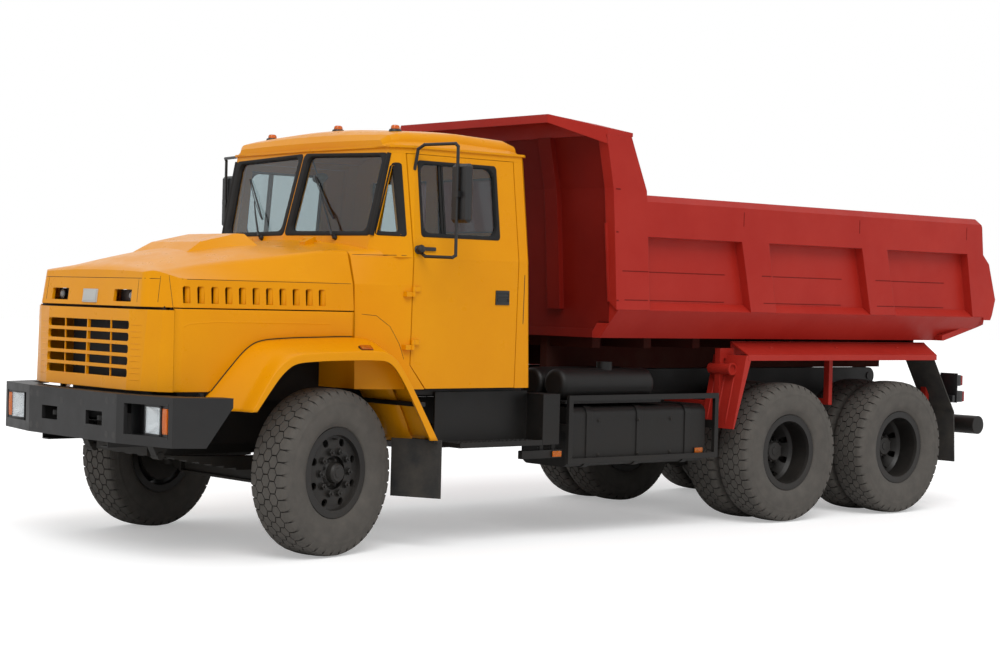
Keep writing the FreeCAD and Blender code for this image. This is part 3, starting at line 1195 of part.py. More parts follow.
def cab_front():
    """Cowl sides, the domed panel under the windscreen, and the windscreen's frame and pillars."""
    front = zone(POST_X, FAR, 0.0, DOOR_TOP)
    lower = LOWER_SHELL.common(front).cut(Part.Compound(DOOR_CUTS))
    upper = UPPER_SHELL.common(front).cut(Part.Compound(DOOR_CUTS + front_panes() + quarter_panes()))
    dome = crowned_loft(COWL_STATIONS, DOME_LOW, 0.0).cut(crowned_loft(COWL_STATIONS, DOME_LOW, CAB_WALL))
    dome = dome.common(zone(-FAR, FAR, CAB_SPLIT, FAR)).cut(Part.Compound([upper_solid(CAB_WALL)] + DOOR_CUTS))
    x, z = ahead(HOOD_PIVOT_X), HOOD_PIVOT_Z
    for s in (1, -1):
        y0, y1 = s * (HOOD_HINGE_Y - 1.0), s * (HOOD_HINGE_Y + HOOD_HINGE_HALF + 4.0)
        dome = dome.cut(hinge_barrel(x, y0, y1, z, HINGE_RADIUS + 6.0))
    for part in hood_hinge_fixed():
        dome = dome.fuse(part)
    clears = [upright(z - 2.0, z + KNUCKLE_HALF + 3.0, HINGE_RADIUS + 4.0) for z in DOOR_HINGE_Z]
    clears = [c for clear in clears for c in both_sides(clear)]
    solid = fuse([lower, upper, dome]).cut(Part.Compound(clears))
    fixed = [h for z in DOOR_HINGE_Z for part in hinge_fixed(z) for h in both_sides(part)]
    return fuse([solid] + fixed)


def cab_back():
    rear = zone(-FAR, POST_X, 0.0, DOOR_TOP)
    lower = LOWER_SHELL.common(rear).cut(Part.Compound(DOOR_CUTS))
    upper = UPPER_SHELL.common(rear).cut(Part.Compound(DOOR_CUTS + rear_panes()))
    return fuse([lower, upper])


keep("cab_front", cab_front())
keep("cab_back", cab_back())


def cab_roof():
    """Crowned roof with its drip rail, down to the tops of the doors."""
    roof = crowned_loft(ROOF_STATIONS, CAB_EAVE, 0.0).cut(crowned_loft(ROOF_STATIONS, CAB_EAVE, ROOF_WALL))
    rim = UPPER_SHELL.common(zone(-FAR, FAR, DOOR_TOP, FAR)).cut(Part.Compound(front_panes()))
    drip = Part.Face(plan_wire(UPPER_TOP, -14.0, CAB_EAVE - 6.0)).extrude(vec(0, 0, 16.0))
    drip = drip.cut(Part.Face(plan_wire(UPPER_TOP, CAB_WALL, CAB_EAVE - 20.0)).extrude(vec(0, 0, 60.0)))
    return fuse([roof, rim, drip])


keep("cab_roof", cab_roof())


def cab_floor():
    side = 1100.0 - CAB_WALL - MOVE_GAP - 4.0
    plate = box(ahead(CAB_REAR + CAB_WALL), ahead(CAB_FRONT - CAB_WALL), -900.0, 900.0, CAB_LOW + 4.0, CAB_LOW + 60.0)
    wide = box(ahead(CAB_REAR + CAB_WALL), ahead(DOOR_FRONT - 20.0), -side, side, CAB_LOW + 4.0, CAB_LOW + 60.0)
    pads = []
    for x in (-450.0, -1640.0):
        for s in (1, -1):
            pads.append(box(ahead(x) - 60, ahead(x) + 60, s * (RAIL_OUT - RAIL_FLANGE), s * RAIL_OUT, FRAME_TOP, CAB_LOW + 10.0))
    return fuse([plate, wide] + pads)


keep("cab_floor", cab_floor())

# Glass
keep("cab_glass", [GLASS_SHEET.common(p) for p in front_panes() + quarter_panes() + rear_panes()])


def door():
    outline = door_prism(-SEAM_GAP / 2)
    panel = fuse([LOWER_SHELL.common(outline), UPPER_SHELL.common(outline)])
    panel = panel.cut(window_prism(DOOR_WINDOW, 800.0, 1300.0))
    clears = [upright(z - KNUCKLE_HALF - 3.0, z + 1.0, HINGE_RADIUS + 4.0) for z in DOOR_HINGE_Z]
    leaf_clear = [box(DOOR_HINGE_X - 6.0, DOOR_HINGE_X + 70.0, 1080.0, 1150.0, z - KNUCKLE_HALF - 3.0, z) for z in DOOR_HINGE_Z]
    panel = panel.cut(Part.Compound(clears + leaf_clear))
    panel = panel.cut(box(ahead(-1440.0), ahead(-1550.0), 1098.0, 1150.0, 1700.0, 1765.0))
    whole = fuse([panel] + [p for z in DOOR_HINGE_Z for p in hinge_moving(z)])
    pins = [upright(z - KNUCKLE_HALF - 3.0, z + KNUCKLE_HALF + 2.0, HINGE_PIN + RUN_GAP) for z in DOOR_HINGE_Z]
    return whole.cut(Part.Compound(pins))


DOOR = door()
keep("door_left", DOOR)
keep("door_right", mirrored(DOOR))
DOOR_GLASS = GLASS_SHEET.common(window_prism(DOOR_WINDOW, 800.0, 1300.0))
keep("door_glass_left", DOOR_GLASS)
keep("door_glass_right", mirrored(DOOR_GLASS))


def pipe(points, radius):
    """Straight runs with a ball at each bend."""
    shapes = []
    for a, b in zip(points, points[1:]):
        shapes.append(rod(a, b, radius))
    for p in points[1:-1]:
        shapes.append(Part.makeSphere(radius * 1.08, p))
    return fuse(shapes)


def mirror():
    x = ahead(-740.0)
    arm = pipe([vec(x, 1040.0, 2590.0), vec(x, 1075.0, 2730.0), vec(x - 10.0, 1130.0, 2758.0), vec(x - 60.0, 1400.0, 2758.0),
                vec(x - 75.0, 1410.0, 2740.0), vec(x - 75.0, 1410.0, 2010.0), vec(x - 60.0, 1395.0, 1995.0),
                vec(x, 1180.0, 2000.0), vec(x, 1118.0, 2030.0), vec(x, 1100.0, 2040.0)], 11.0)
    head = box(x - 150.0, x - 90.0, 1315.0, 1500.0, 2230.0, 2625.0)
    head = head.makeChamfer(20.0, head.Edges)
    clamp = box(x - 100.0, x - 60.0, 1385.0, 1435.0, 2400.0, 2440.0)
    return fuse([arm, head, clamp]).cut(fuse([upper_solid(0.0), lower_solid(0.0)]))


MIRROR = mirror()
keep("mirror_left", MIRROR)
keep("mirror_right", mirrored(MIRROR))

# Cab inside
SEAT_FLOOR = CAB_LOW + 60.0


def seat(y0, y1):
    base = box(ahead(-1620.0), ahead(-1180.0), y0 + 40.0, y1 - 40.0, SEAT_FLOOR, 1440.0)
    cushion = box(ahead(-1620.0), ahead(-1120.0), y0, y1, 1440.0, 1570.0)
    back = prism([(ahead(-1560.0), 1570.0), (ahead(-1640.0), 2130.0), (ahead(-1715.0), 2130.0), (ahead(-1690.0), 1500.0),
                  (ahead(-1560.0), 1500.0)], "y", y0, y1)
    return fuse([base, cushion, back])


keep("cab_seats", [seat(210.0, 750.0), seat(-900.0, -80.0)])
DASH_HALF = 872.0
DASHBOARD = prism([(ahead(CAB_FRONT - CAB_WALL), 1700.0), (ahead(-640.0), 1760.0), (ahead(-670.0), 1980.0), (ahead(-600.0), 2040.0),
                   (ahead(-530.0), 2040.0), (ahead(-530.0), 1960.0), (ahead(CAB_FRONT - CAB_WALL), 1960.0)],
                  "y", -DASH_HALF, DASH_HALF).cut(LOWER_SHELL)


def steering_wheel():
    centre = vec(ahead(-960.0), 460.0, 1985.0)
    axis = vec(-0.62, 0, 0.785)
    ring = Part.makeTorus(235.0, 15.0, centre, axis)
    hub = rod(centre - axis * 50.0, centre + axis * 20.0, 45.0)
    spokes = [rod(centre, centre + vec(0, s * 235.0, 0), 11.0) for s in (1, -1)]
    column = rod(centre, centre + vec(360.0, 0, -455.0) * 1.5615, 30.0)
    return fuse([ring, hub, column] + spokes)


keep("dashboard", [DASHBOARD, steering_wheel().cut(DASHBOARD)])


def roof_lamps():
    shapes = []
    roof = crowned_loft(ROOF_STATIONS, CAB_EAVE, 0.0)
    for x, y, z in ((-790.0, 750.0, 2858.0), (-850.0, 0.0, 2892.0), (-790.0, -750.0, 2858.0)):
        base = box(ahead(x) - 45, ahead(x) + 45, y - 32, y + 32, z - 30.0, z + 10.0)
        top = Part.makeSphere(34.0, vec(ahead(x), y, z + 10.0)).common(box(ahead(x) - 40, ahead(x) + 40, y - 40, y + 40, z + 10, z + 60))
        shapes.append(fuse([base, top]).cut(roof))
    return shapes



# Steps, tanks and boxes along the frame
STEP_OUT = HALF_WIDTH - 50.0


def step():
    riser = box(ahead(-1850.0), ahead(-1000.0), 985.0, 1000.0, 700.0, CAB_LOW - 26.0)
    board = box(ahead(-1830.0), ahead(-1070.0), 985.0, STEP_OUT, 690.0, 722.0)
    arms = [box(ahead(x) - 25, ahead(x) + 25, RAIL_OUT, 985.0, 760.0, 830.0) for x in (-1180.0, -1700.0)]
    side_box = box(ahead(-2010.0), ahead(-1850.0), 960.0, 1180.0, 690.0, 1052.0)
    return fuse([riser, board, side_box] + arms)


STEP = step()
keep("steps", [STEP, mirrored(STEP)])

TANK_FRONT = -2130.0
TANK_REAR = -3560.0
TANK_IN = 640.0
TANK_OUT = 1150.0
TANK_LOW = 515.0
TANK_TOP = 955.0


def fuel_tank(x0, x1):
    body = box(ahead(x1), ahead(x0), TANK_IN, TANK_OUT, TANK_LOW, TANK_TOP)
    body = round_edges(body, 70.0, lambda a, b: abs(a.x - b.x) > 500.0)
    straps = []
    for i in range(3):
        x = ahead(x0 - 200.0 - i * (x0 - x1 - 400.0) / 2)
        strap = box(x - 30, x + 30, TANK_IN - 8, TANK_OUT + 8, TANK_LOW - 8, TANK_TOP + 8)
        strap = round_edges(strap, 76.0, lambda a, b: abs(a.x - b.x) > 50.0)
        straps.append(strap)
        straps.append(box(x - 30, x + 30, RAIL_OUT, TANK_IN, TANK_TOP - 140.0, TANK_TOP - 60.0))
    return fuse([body] + straps)


def tank_guard():
    """Bars outside the tank: two rails, end plates and uprights."""
    y0, y1 = 1175.0, 1205.0
    x0, x1 = ahead(-3650.0), ahead(-2080.0)
    shapes = [box(x0, x1, y0, y1, 1000.0, 1040.0), box(x0, x1, y0, y1, 545.0, 585.0)]
    for x in (x0, x1 - 40.0):
        shapes.append(box(x, x + 40.0, y0, y1, 545.0, 1040.0))
        shapes.append(box(x, x + 40.0, RAIL_OUT, y1, 770.0, 830.0))
    return fuse(shapes)


keep("fuel_tanks", [fuel_tank(TANK_FRONT, TANK_REAR), mirrored(fuel_tank(TANK_FRONT, -3360.0)), tank_guard()])


def reservoirs():
    """Two long air cylinders on a shelf over the tank, and one filler."""
    shapes = []
    z = 1110.0
    shelf = box(ahead(-3100.0), ahead(-2120.0), RAIL_OUT, 1120.0, 975.0, 996.0)
    for y in (700.0, 960.0):
        cylinder = rod(vec(ahead(-3080.0), y, z), vec(ahead(-2140.0), y, z), 118.0)
        cylinder = cylinder.makeFillet(40.0, [e for e in cylinder.Edges if e.Length > 300.0 and len(e.Vertexes) == 1])
        shapes.append(cylinder)
    filler = Part.makeCylinder(60.0, 70.0, vec(ahead(-2650.0), 960.0, z + 95.0))
    return fuse(shapes + [shelf, filler])


keep("air_reservoirs", reservoirs())

# Rear fenders on the frame
REAR_FENDER_IN = HALF_WIDTH - 250.0
POST_IN = REAR_FENDER_IN - 15.0
POST_OUT = REAR_FENDER_IN + 40.0
REAR_POST_X = -6470.0


def rear_fender():
    front, rear = -3985.0, -6450.0
    outer_front, outer_rear = -3925.0, -6310.0
    drop = 12.0
    shapes = []
    top = [vec(ahead(front), REAR_FENDER_IN, 1435.0), vec(ahead(outer_front), HALF_WIDTH, 1335.0),
           vec(ahead(outer_rear), HALF_WIDTH, 1335.0), vec(ahead(rear), REAR_FENDER_IN, 1435.0)]
    sheet = Part.Face(Part.makePolygon(top + top[:1])).extrude(vec(0, 0, -drop))
    shapes.append(sheet)
    shapes.append(box(ahead(outer_rear), ahead(outer_front), HALF_WIDTH - drop, HALF_WIDTH, 1290.0, 1335.0))
    shapes.append(box(ahead(rear), ahead(front), REAR_FENDER_IN, REAR_FENDER_IN + drop, 1330.0, 1434.0))
    shield = [(ahead(-3970.0), 1330.0), (ahead(-3905.0), 1330.0), (ahead(-3770.0), 760.0), (ahead(-3784.0), 760.0)]
    shapes.append(prism(shield, "y", 900.0, HALF_WIDTH - 2.0))
    for x, post_top in ((-3850.0, 1380.0), (-5170.0, 1400.0), (REAR_POST_X, 1380.0)):
        shapes.append(box(ahead(x) - 22, ahead(x) + 22, RAIL_OUT, POST_OUT, 915.0, 965.0))
        shapes.append(box(ahead(x) - 22, ahead(x) + 22, POST_IN, POST_OUT, 915.0, post_top))
    shapes.append(box(ahead(-3990.0), ahead(-3850.0), POST_IN, POST_OUT, 1300.0, 1380.0))
    shapes.append(box(ahead(REAR_POST_X), ahead(-6400.0), POST_IN, POST_OUT, 1300.0, 1380.0))
    return fuse(shapes)


REAR_FENDER = rear_fender()
keep("rear_fenders", [REAR_FENDER, mirrored(REAR_FENDER)])


def rear_guard():
    line = [(-6300.0, 1290.0), (-6596.0, 840.0), (-6620.0, 410.0), (-6606.0, 410.0), (-6582.0, 842.0), (-6286.0, 1298.0)]
    guard = prism([(ahead(a), b) for a, b in line], "y", HALF_WIDTH - 320.0, HALF_WIDTH - 12.0 - RUN_GAP)
    x = ahead(REAR_POST_X)
    return guard.cut(box(x - 22.0 - RUN_GAP, x + 22.0 + RUN_GAP, POST_IN - RUN_GAP, POST_OUT + RUN_GAP, 900.0, 1400.0))


FLAP = front_flap()
GUARD = rear_guard()
keep("mud_flaps", [FLAP, mirrored(FLAP), GUARD, mirrored(GUARD)])

# Tail: lamp bar and underrun tube
UNDERRUN_X = -6996.0
UNDERRUN_Z = 716.0
UNDERRUN_RADIUS = 80.0


def tail_lamps():
    inner, outer = HALF_WIDTH - 190.0, HALF_WIDTH - 10.0
    bar = box(ahead(-6562.0), FRAME_REAR - RUN_GAP, RAIL_OUT - 85.0, outer, 925.0, 985.0)
    plate = box(ahead(-6630.0), ahead(-6620.0), inner, outer, 920.0, 1175.0)
    link = box(ahead(-6620.0), ahead(-6562.0), inner, inner + 40.0, 925.0, 985.0)
    upper = box(ahead(-6720.0), ahead(-6630.0), inner + 10.0, outer - 10.0, 1065.0, 1160.0)
    lower = box(ahead(-6750.0), ahead(-6630.0), inner + 10.0, outer - 10.0, 925.0, 1022.0)
    return fuse([bar, plate, link, upper, lower])


TAIL_LAMP = tail_lamps()


def underrun():
    x, z = ahead(UNDERRUN_X), UNDERRUN_Z
    half = HALF_WIDTH - 50.0
    tube = rod(vec(x, -half, z), vec(x, half, z), UNDERRUN_RADIUS)
    arms = [box(x, FRAME_REAR, s * 350.0, s * 430.0, z - 6.0, z + 70.0) for s in (1, -1)]
    return fuse([tube] + arms)


keep("lamps", both_sides(HEAD_LAMP) + roof_lamps() + both_sides(TAIL_LAMP))
keep("underrun_bar", underrun())

# Bed
BED_FLOOR_LOW = 1455.0
BED_FLOOR_TOP = 1500.0
BED_PANEL_OUT = HALF_WIDTH - 78.0
BED_PANEL_IN = BED_PANEL_OUT - 17.0
BED_FLAT_HALF = HALF_WIDTH - 270.0
BED_RAIL_LOW = 2210.0
TOE_REAR = -2530.0
BED_RAIL_TOP = 2520.0
CHINE_Z = 1665.0
BED_TAIL = -(WHEELBASE + BOGIE_SPREAD + REAR_OVERHANG)


def bed_floor():
    """Floor plate with sloped chines along both sides and an upswept tail."""
    half = HALF_WIDTH - 190.0
    section = [(0.0, BED_FLOOR_LOW), (half, BED_FLOOR_LOW), (HALF_WIDTH, CHINE_Z), (BED_PANEL_OUT, 1725.0),
               (BED_PANEL_IN, 1725.0), (BED_FLAT_HALF, BED_FLOOR_TOP), (0.0, BED_FLOOR_TOP)]
    points = section + [(-y, z) for y, z in reversed(section) if y > 0.0]
    body = prism(points, "x", ahead(-6960.0), ahead(-2500.0))
    tail_cut = prism([(ahead(-6520.0), BED_FLOOR_LOW - 5.0), (ahead(-7200.0), BED_FLOOR_LOW - 5.0), (ahead(-7200.0), 1632.0),
                      (ahead(-7000.0), 1576.0), (ahead(-6520.0), BED_FLOOR_LOW)], "y", -FAR / 2, FAR / 2)
    ramp = prism([(ahead(-6520.0), BED_FLOOR_LOW), (ahead(-7000.0), 1576.0), (ahead(-7085.0), 1600.0), (ahead(-7095.0), 1650.0),
                  (ahead(-7000.0), 1625.0), (ahead(-6500.0), BED_FLOOR_TOP), (ahead(-6500.0), BED_FLOOR_LOW)], "y", 92.0 - HALF_WIDTH, HALF_WIDTH - 92.0)
    toe_seat = box(ahead(TOE_REAR) - RUN_GAP, ahead(-2490.0), -BED_FLAT_HALF - RUN_GAP, BED_FLAT_HALF + RUN_GAP,
                   BED_FLOOR_LOW - 1.0, BED_FLOOR_TOP + 1.0)
    return fuse([body.cut(tail_cut), ramp]).cut(toe_seat)


def bed_side():
    """Side panel with top rail, leaning ribs and both end posts, left."""
    rear_edge = [(-6917.0, 2428.0), (BED_TAIL, 1820.0), (-7085.0, 1687.0)]
    panel_line = [(-2480.0, 1725.0), (-2430.0, 2300.0)] + [(-6900.0, 2300.0)] + rear_edge[1:2] + [(-7095.0, 1690.0), (-6900.0, 1725.0)]
    panel = prism([(ahead(a), b) for a, b in panel_line], "y", BED_PANEL_IN, BED_PANEL_OUT)
    rail_section = [(BED_PANEL_IN, BED_RAIL_LOW), (HALF_WIDTH, BED_RAIL_LOW), (HALF_WIDTH, BED_RAIL_TOP - 50.0),
                    (HALF_WIDTH - 45.0, BED_RAIL_TOP), (BED_PANEL_IN, BED_RAIL_TOP)]
    top = prism(rail_section, "x", ahead(-6930.0), ahead(-2700.0))
    corner = prism([(ahead(-6800.0), BED_RAIL_TOP + 1), (ahead(-6990.0), BED_RAIL_TOP + 1), (ahead(-6990.0), 2210.0),
                    (ahead(-6930.0), 2210.0), (ahead(-6905.0), 2450.0), (ahead(-6860.0), BED_RAIL_TOP)], "y", 1100.0, 1300.0)
    top = top.cut(corner)
    ribs = [
        [(-3815.0, 2215.0), (-4128.0, 2215.0), (-4244.0, 1620.0), (-3952.0, 1620.0)],
        [(-5270.0, 2215.0), (-5596.0, 2215.0), (-5744.0, 1620.0), (-5415.0, 1620.0)],
        [(-6698.0, 2215.0), (-6925.0, 2215.0), (-7020.0, 2130.0), (BED_TAIL, 1820.0), (-7085.0, 1687.0), (-7060.0, 1640.0),
         (-6808.0, 1640.0)],
        [(-2342.0, 2935.0), (-2594.0, 2935.0), (-2765.0, 2548.0), (-2790.0, 2215.0), (-2830.0, 1640.0), (-2496.0, 1640.0),
         (-2483.0, 1661.0), (-2448.0, 2229.0), (-2421.0, 2559.0)],
    ]
    shapes = [panel, top]
    lower_clear = prism([(HALF_WIDTH + 1, CHINE_Z), (BED_PANEL_OUT, 1725.0), (BED_PANEL_IN - 1, 1725.0), (BED_PANEL_IN - 1, 1500.0),
                         (HALF_WIDTH + 1, 1500.0)], "x", ahead(-6960.0), ahead(-2400.0))
    for points in ribs:
        post = prism([(ahead(a), b) for a, b in points], "y", BED_PANEL_IN, HALF_WIDTH)
        shapes.append(post.cut(lower_clear))
    return fuse(shapes)


WALL_LINE = [(-2352.0, 2935.0), (-2431.0, 2559.0), (-2458.0, 2229.0), (-2493.0, 1661.0), (-2505.0, BED_FLOOR_TOP)]
WALL_SHEET = 17.0
WALL_RIB = 42.0


def bed_front_wall():
    """Headboard that follows the posts' front edges, with two upright ribs on its front."""
    front = [(ahead(a), b) for a, b in WALL_LINE]
    wall = prism(front + [(a - WALL_SHEET, b) for a, b in reversed(front)], "y", -BED_PANEL_IN, BED_PANEL_IN)
    rib_front = [(a + WALL_RIB, b) for a, b in front[:-1]]
    rib = rib_front + [(a - 2.0, b) for a, b in reversed(front[:-1])]
    ribs = [prism(rib, "y", y - 70.0, y + 70.0) for y in (-600.0, 600.0)]
    toe = box(ahead(TOE_REAR), ahead(-2500.0), -BED_FLAT_HALF, BED_FLAT_HALF, BED_FLOOR_LOW, BED_FLOOR_TOP + 20.0)
    return fuse([wall, toe] + ribs)


VISOR_HALF = HALF_WIDTH - 380.0
VISOR_WALL = 12.0


def bed_visor():
    back, nose, wing = ahead(-2605.0), ahead(-2100.0), ahead(-2350.0)
    back_z, nose_z, wing_z = 3045.0, 3085.0, 2984.0
    tail_z = 2964.0

    def slab(points, push):
        corners = [vec(*p) for p in points]
        return Part.Face(Part.makePolygon(corners + corners[:1])).extrude(push)

    down = vec(0, 0, -VISOR_WALL)
    shapes = [slab([(back, -VISOR_HALF, back_z), (nose, -VISOR_HALF, nose_z), (nose, VISOR_HALF, nose_z), (back, VISOR_HALF, back_z)], down)]
    shapes.append(box(nose - VISOR_WALL, nose, -VISOR_HALF, VISOR_HALF, nose_z - 62.0, nose_z - 2.0))
    for s in (1, -1):
        a = (back, s * VISOR_HALF, back_z)
        b = (nose, s * VISOR_HALF, nose_z)
        c = (wing, s * HALF_WIDTH, wing_z)
        d = (back, s * HALF_WIDTH, tail_z)
        shapes.append(slab([a, b, c], down))
        shapes.append(slab([a, c, d], down))
        lip = [b, c, (c[0], c[1], c[2] - 115.0), (b[0], b[1], b[2] - 62.0)]
        shapes.append(slab(lip, vec(-VISOR_WALL, 0, 0)))
        flange = prism([(back, 2935.0), (wing, 2935.0), (wing, wing_z), (back, tail_z)], "y", HALF_WIDTH - VISOR_WALL, HALF_WIDTH)
        shapes.append(flange if s > 0 else mirrored(flange))
    header = [(-BED_PANEL_IN, 2935.0), (BED_PANEL_IN, 2935.0), (BED_PANEL_IN, 2996.0), (VISOR_HALF, 3058.0),
              (-VISOR_HALF, 3058.0), (-BED_PANEL_IN, 2996.0)]
    shapes.append(prism(header, "x", ahead(-2372.0), ahead(-2336.0)))
    return fuse(shapes)


BED_FLOOR = bed_floor()
BED_SIDE = bed_side()
BED_WALL = bed_front_wall()
BED_VISOR = bed_visor()
BED_SIDES = both_sides(BED_SIDE)
keep("bed_floor", BED_FLOOR)
keep("bed_side_left", BED_SIDE.cut(BED_FLOOR))
keep("bed_side_right", mirrored(BED_SIDE).cut(BED_FLOOR))
keep("bed_front_wall", largest(BED_WALL.cut(Part.Compound([BED_FLOOR] + BED_SIDES))))
keep("bed_visor", BED_VISOR.cut(Part.Compound(BED_SIDES + [BED_WALL])))

# Hoist: two four-stage cylinders. Barrel pivot and bed ball are equally far from the tipping
# axis, so the barrels lean by half the bed's angle.
HOIST_Y = 230.0
HOIST_PIVOT_X = behind(3900.0)
HOIST_PIVOT_Z = 850.0
BALL_Z = 1360.0
HOIST_ARM = math.hypot(HOIST_PIVOT_X - TIP_X, HOIST_PIVOT_Z - TIP_Z)
BALL_X = TIP_X + math.sqrt(HOIST_ARM ** 2 - (BALL_Z - TIP_Z) ** 2)
HOIST_STAGES = 4
BARREL_RADIUS = 95.0
BARREL_WALL = 8.0
STAGE_WALL = 8.5
BARREL_LOW = 490.0
BARREL_TOP = 1215.0
STAGE_STEP = 16.0
BALL_RADIUS = 58.0


def hoist_angle(point_x, point_z):
    return math.atan2(point_z - TIP_Z, point_x - TIP_X)


REST_SPAN = hoist_angle(BALL_X, BALL_Z) - hoist_angle(HOIST_PIVOT_X, HOIST_PIVOT_Z)


def ball_distance(degrees):
    """Pivot to ball with the bed at this angle."""
    return 2 * HOIST_ARM * math.sin((REST_SPAN + math.radians(degrees)) / 2)


STAGE_TRAVEL = (ball_distance(TIP_RANGE) - ball_distance(0.0)) / HOIST_STAGES


def leaned(shape):
    """From upright at the pivot to the line from pivot to ball."""
    lean = math.degrees(math.atan2(BALL_X - HOIST_PIVOT_X, BALL_Z - HOIST_PIVOT_Z))
    return turned(shape, vec(HOIST_PIVOT_X, 0, HOIST_PIVOT_Z), vec(0, 1, 0), lean)


def stage_radius(i):
    """Outer radius of the barrel, 0, or of a stage."""
    return BARREL_RADIUS - i * (BARREL_WALL + RUN_GAP)


def hoist_barrel(y):
    x = HOIST_PIVOT_X
    body = Part.makeCylinder(BARREL_RADIUS, BARREL_TOP - BARREL_LOW, vec(x, y, BARREL_LOW))
    collar = Part.makeCylinder(BARREL_RADIUS + 14.0, 110.0, vec(x, y, HOIST_PIVOT_Z - 55.0))
    sign = 1 if y > 0 else -1
    stub = rod(vec(x, y, HOIST_PIVOT_Z), vec(x, sign * (RAIL_OUT - RAIL_WALL - 28.0), HOIST_PIVOT_Z), 30.0)
    tie = rod(vec(x, y, HOIST_PIVOT_Z), vec(x, 0, HOIST_PIVOT_Z), 30.0)
    bore = Part.makeCylinder(stage_radius(1) + RUN_GAP, BARREL_TOP, vec(x, y, BARREL_LOW + 14.0))
    return fuse([body, collar, stub, tie]).cut(bore)


def hoist_stage(i, y):
    x = HOIST_PIVOT_X
    low = BARREL_LOW + 14.0 + i * 2.0
    top = BARREL_TOP + i * STAGE_STEP
    radius = stage_radius(i)
    if i < HOIST_STAGES:
        tube = Part.makeCylinder(radius, top - low, vec(x, y, low))
        bore = Part.makeCylinder(stage_radius(i + 1) + RUN_GAP, top, vec(x, y, low + 1.5))
        return tube.cut(bore)
    reach = HOIST_PIVOT_Z + ball_distance(0.0)
    stem = Part.makeCylinder(radius, top - low, vec(x, y, low))
    neck = Part.makeCylinder(42.0, reach - top, vec(x, y, top))
    return fuse([stem, neck, Part.makeSphere(BALL_RADIUS, vec(x, y, reach))])


keep("hoist_barrels", fuse([leaned(hoist_barrel(HOIST_Y)), leaned(hoist_barrel(-HOIST_Y))]))
for i in range(1, HOIST_STAGES + 1):
    keep("hoist_stage_" + str(i), [leaned(hoist_stage(i, HOIST_Y)), leaned(hoist_stage(i, -HOIST_Y))])


def hoist_bracket():
    x, z = HOIST_PIVOT_X, HOIST_PIVOT_Z
    web_in = RAIL_OUT - RAIL_WALL
    plate = box(x - 80, x + 80, web_in - 36.0, web_in, z - 70.0, z + 70.0)
    return plate.cut(rod(vec(x, web_in - 40.0, z), vec(x, web_in - 20.0, z), 30.0 + RUN_GAP))


keep("chassis_frame", both_sides(rail().fuse(hoist_bracket())) + crossmembers())

# Bed underframe: sills, hinge ears, cross beams, and the caps over the hoist balls
SILL_LOW = SUB_TOP + 5.0
SILL_FRONT = -2550.0
SILL_REAR = -6565.0
EAR_RADIUS = 60.0
CAP_RISE = 34.0


def bed_sill():
    beam = box(ahead(SILL_REAR), ahead(SILL_FRONT), SUB_IN, SUB_OUT, SILL_LOW, BED_FLOOR_LOW)
    ear = prism([(TIP_X - EAR_RADIUS, TIP_Z), (TIP_X + EAR_RADIUS, TIP_Z), (TIP_X + 100.0, BED_FLOOR_LOW), (TIP_X - 100.0, BED_FLOOR_LOW)],
                "y", EAR_IN, EAR_OUT)
    ear = fuse([ear, rod(vec(TIP_X, EAR_IN, TIP_Z), vec(TIP_X, EAR_OUT, TIP_Z), EAR_RADIUS)])
    block = box(TIP_X - 90.0, TIP_X + 90.0, EAR_IN, SUB_IN, SILL_LOW + 10.0, BED_FLOOR_LOW)
    bore = rod(vec(TIP_X, EAR_IN - 10.0, TIP_Z), vec(TIP_X, EAR_OUT + 1.0, TIP_Z), TIP_PIN + RUN_GAP)
    return fuse([beam, ear, block]).cut(bore)


def ball_caps():
    block = box(BALL_X - 90.0, BALL_X + 90.0, -SUB_IN, SUB_IN, BALL_Z + CAP_RISE, BED_FLOOR_LOW)
    return block.cut(Part.Compound([Part.makeSphere(BALL_RADIUS + 1.0, vec(BALL_X, y, BALL_Z)) for y in (HOIST_Y, -HOIST_Y)]))


def bed_underframe():
    cross = []
    for i in range(8):
        x = ahead(-2620.0 - i * 540.0)
        if abs(x - BALL_X) > 160.0:
            cross.append(box(x - 40.0, x + 40.0, -900.0, 900.0, 1375.0, BED_FLOOR_LOW))
    side = bed_sill()
    return fuse([side, mirrored(side), ball_caps()] + cross)


keep("bed_underframe", bed_underframe())


def export():
    os.makedirs("parts", exist_ok=True)
    for name, solids in NODES.items():
        shape = solids[0] if len(solids) == 1 else Part.Compound(solids)
        shape.exportStep("parts/" + name + ".step")
        bad = [i for i, s in enumerate(solids) if not s.isValid()]
        print(name, len(solids), "solids", round(sum(s.Volume for s in solids) / 1e9, 4), "m3", "INVALID" if bad else "")
    print(len(NODES), "nodes")


export()
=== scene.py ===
"""Bonneted dump truck with a red tipping bed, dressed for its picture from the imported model."""
import math
import random

import bmesh
import bpy
from mathutils import Matrix, Vector
from mathutils.bvhtree import BVHTree


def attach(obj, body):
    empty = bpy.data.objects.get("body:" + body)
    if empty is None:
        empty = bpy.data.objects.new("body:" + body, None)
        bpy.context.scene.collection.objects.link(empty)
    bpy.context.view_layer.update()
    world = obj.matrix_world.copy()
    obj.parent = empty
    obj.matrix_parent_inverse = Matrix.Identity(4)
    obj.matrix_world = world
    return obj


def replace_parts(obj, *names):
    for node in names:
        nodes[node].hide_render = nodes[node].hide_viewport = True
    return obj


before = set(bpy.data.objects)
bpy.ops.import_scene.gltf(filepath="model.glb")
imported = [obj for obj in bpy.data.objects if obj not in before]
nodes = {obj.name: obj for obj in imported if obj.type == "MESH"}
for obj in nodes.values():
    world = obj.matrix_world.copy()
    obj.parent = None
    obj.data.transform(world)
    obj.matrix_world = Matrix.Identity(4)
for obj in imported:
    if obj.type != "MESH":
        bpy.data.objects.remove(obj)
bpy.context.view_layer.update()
scene = bpy.context.scene
random.seed(7)

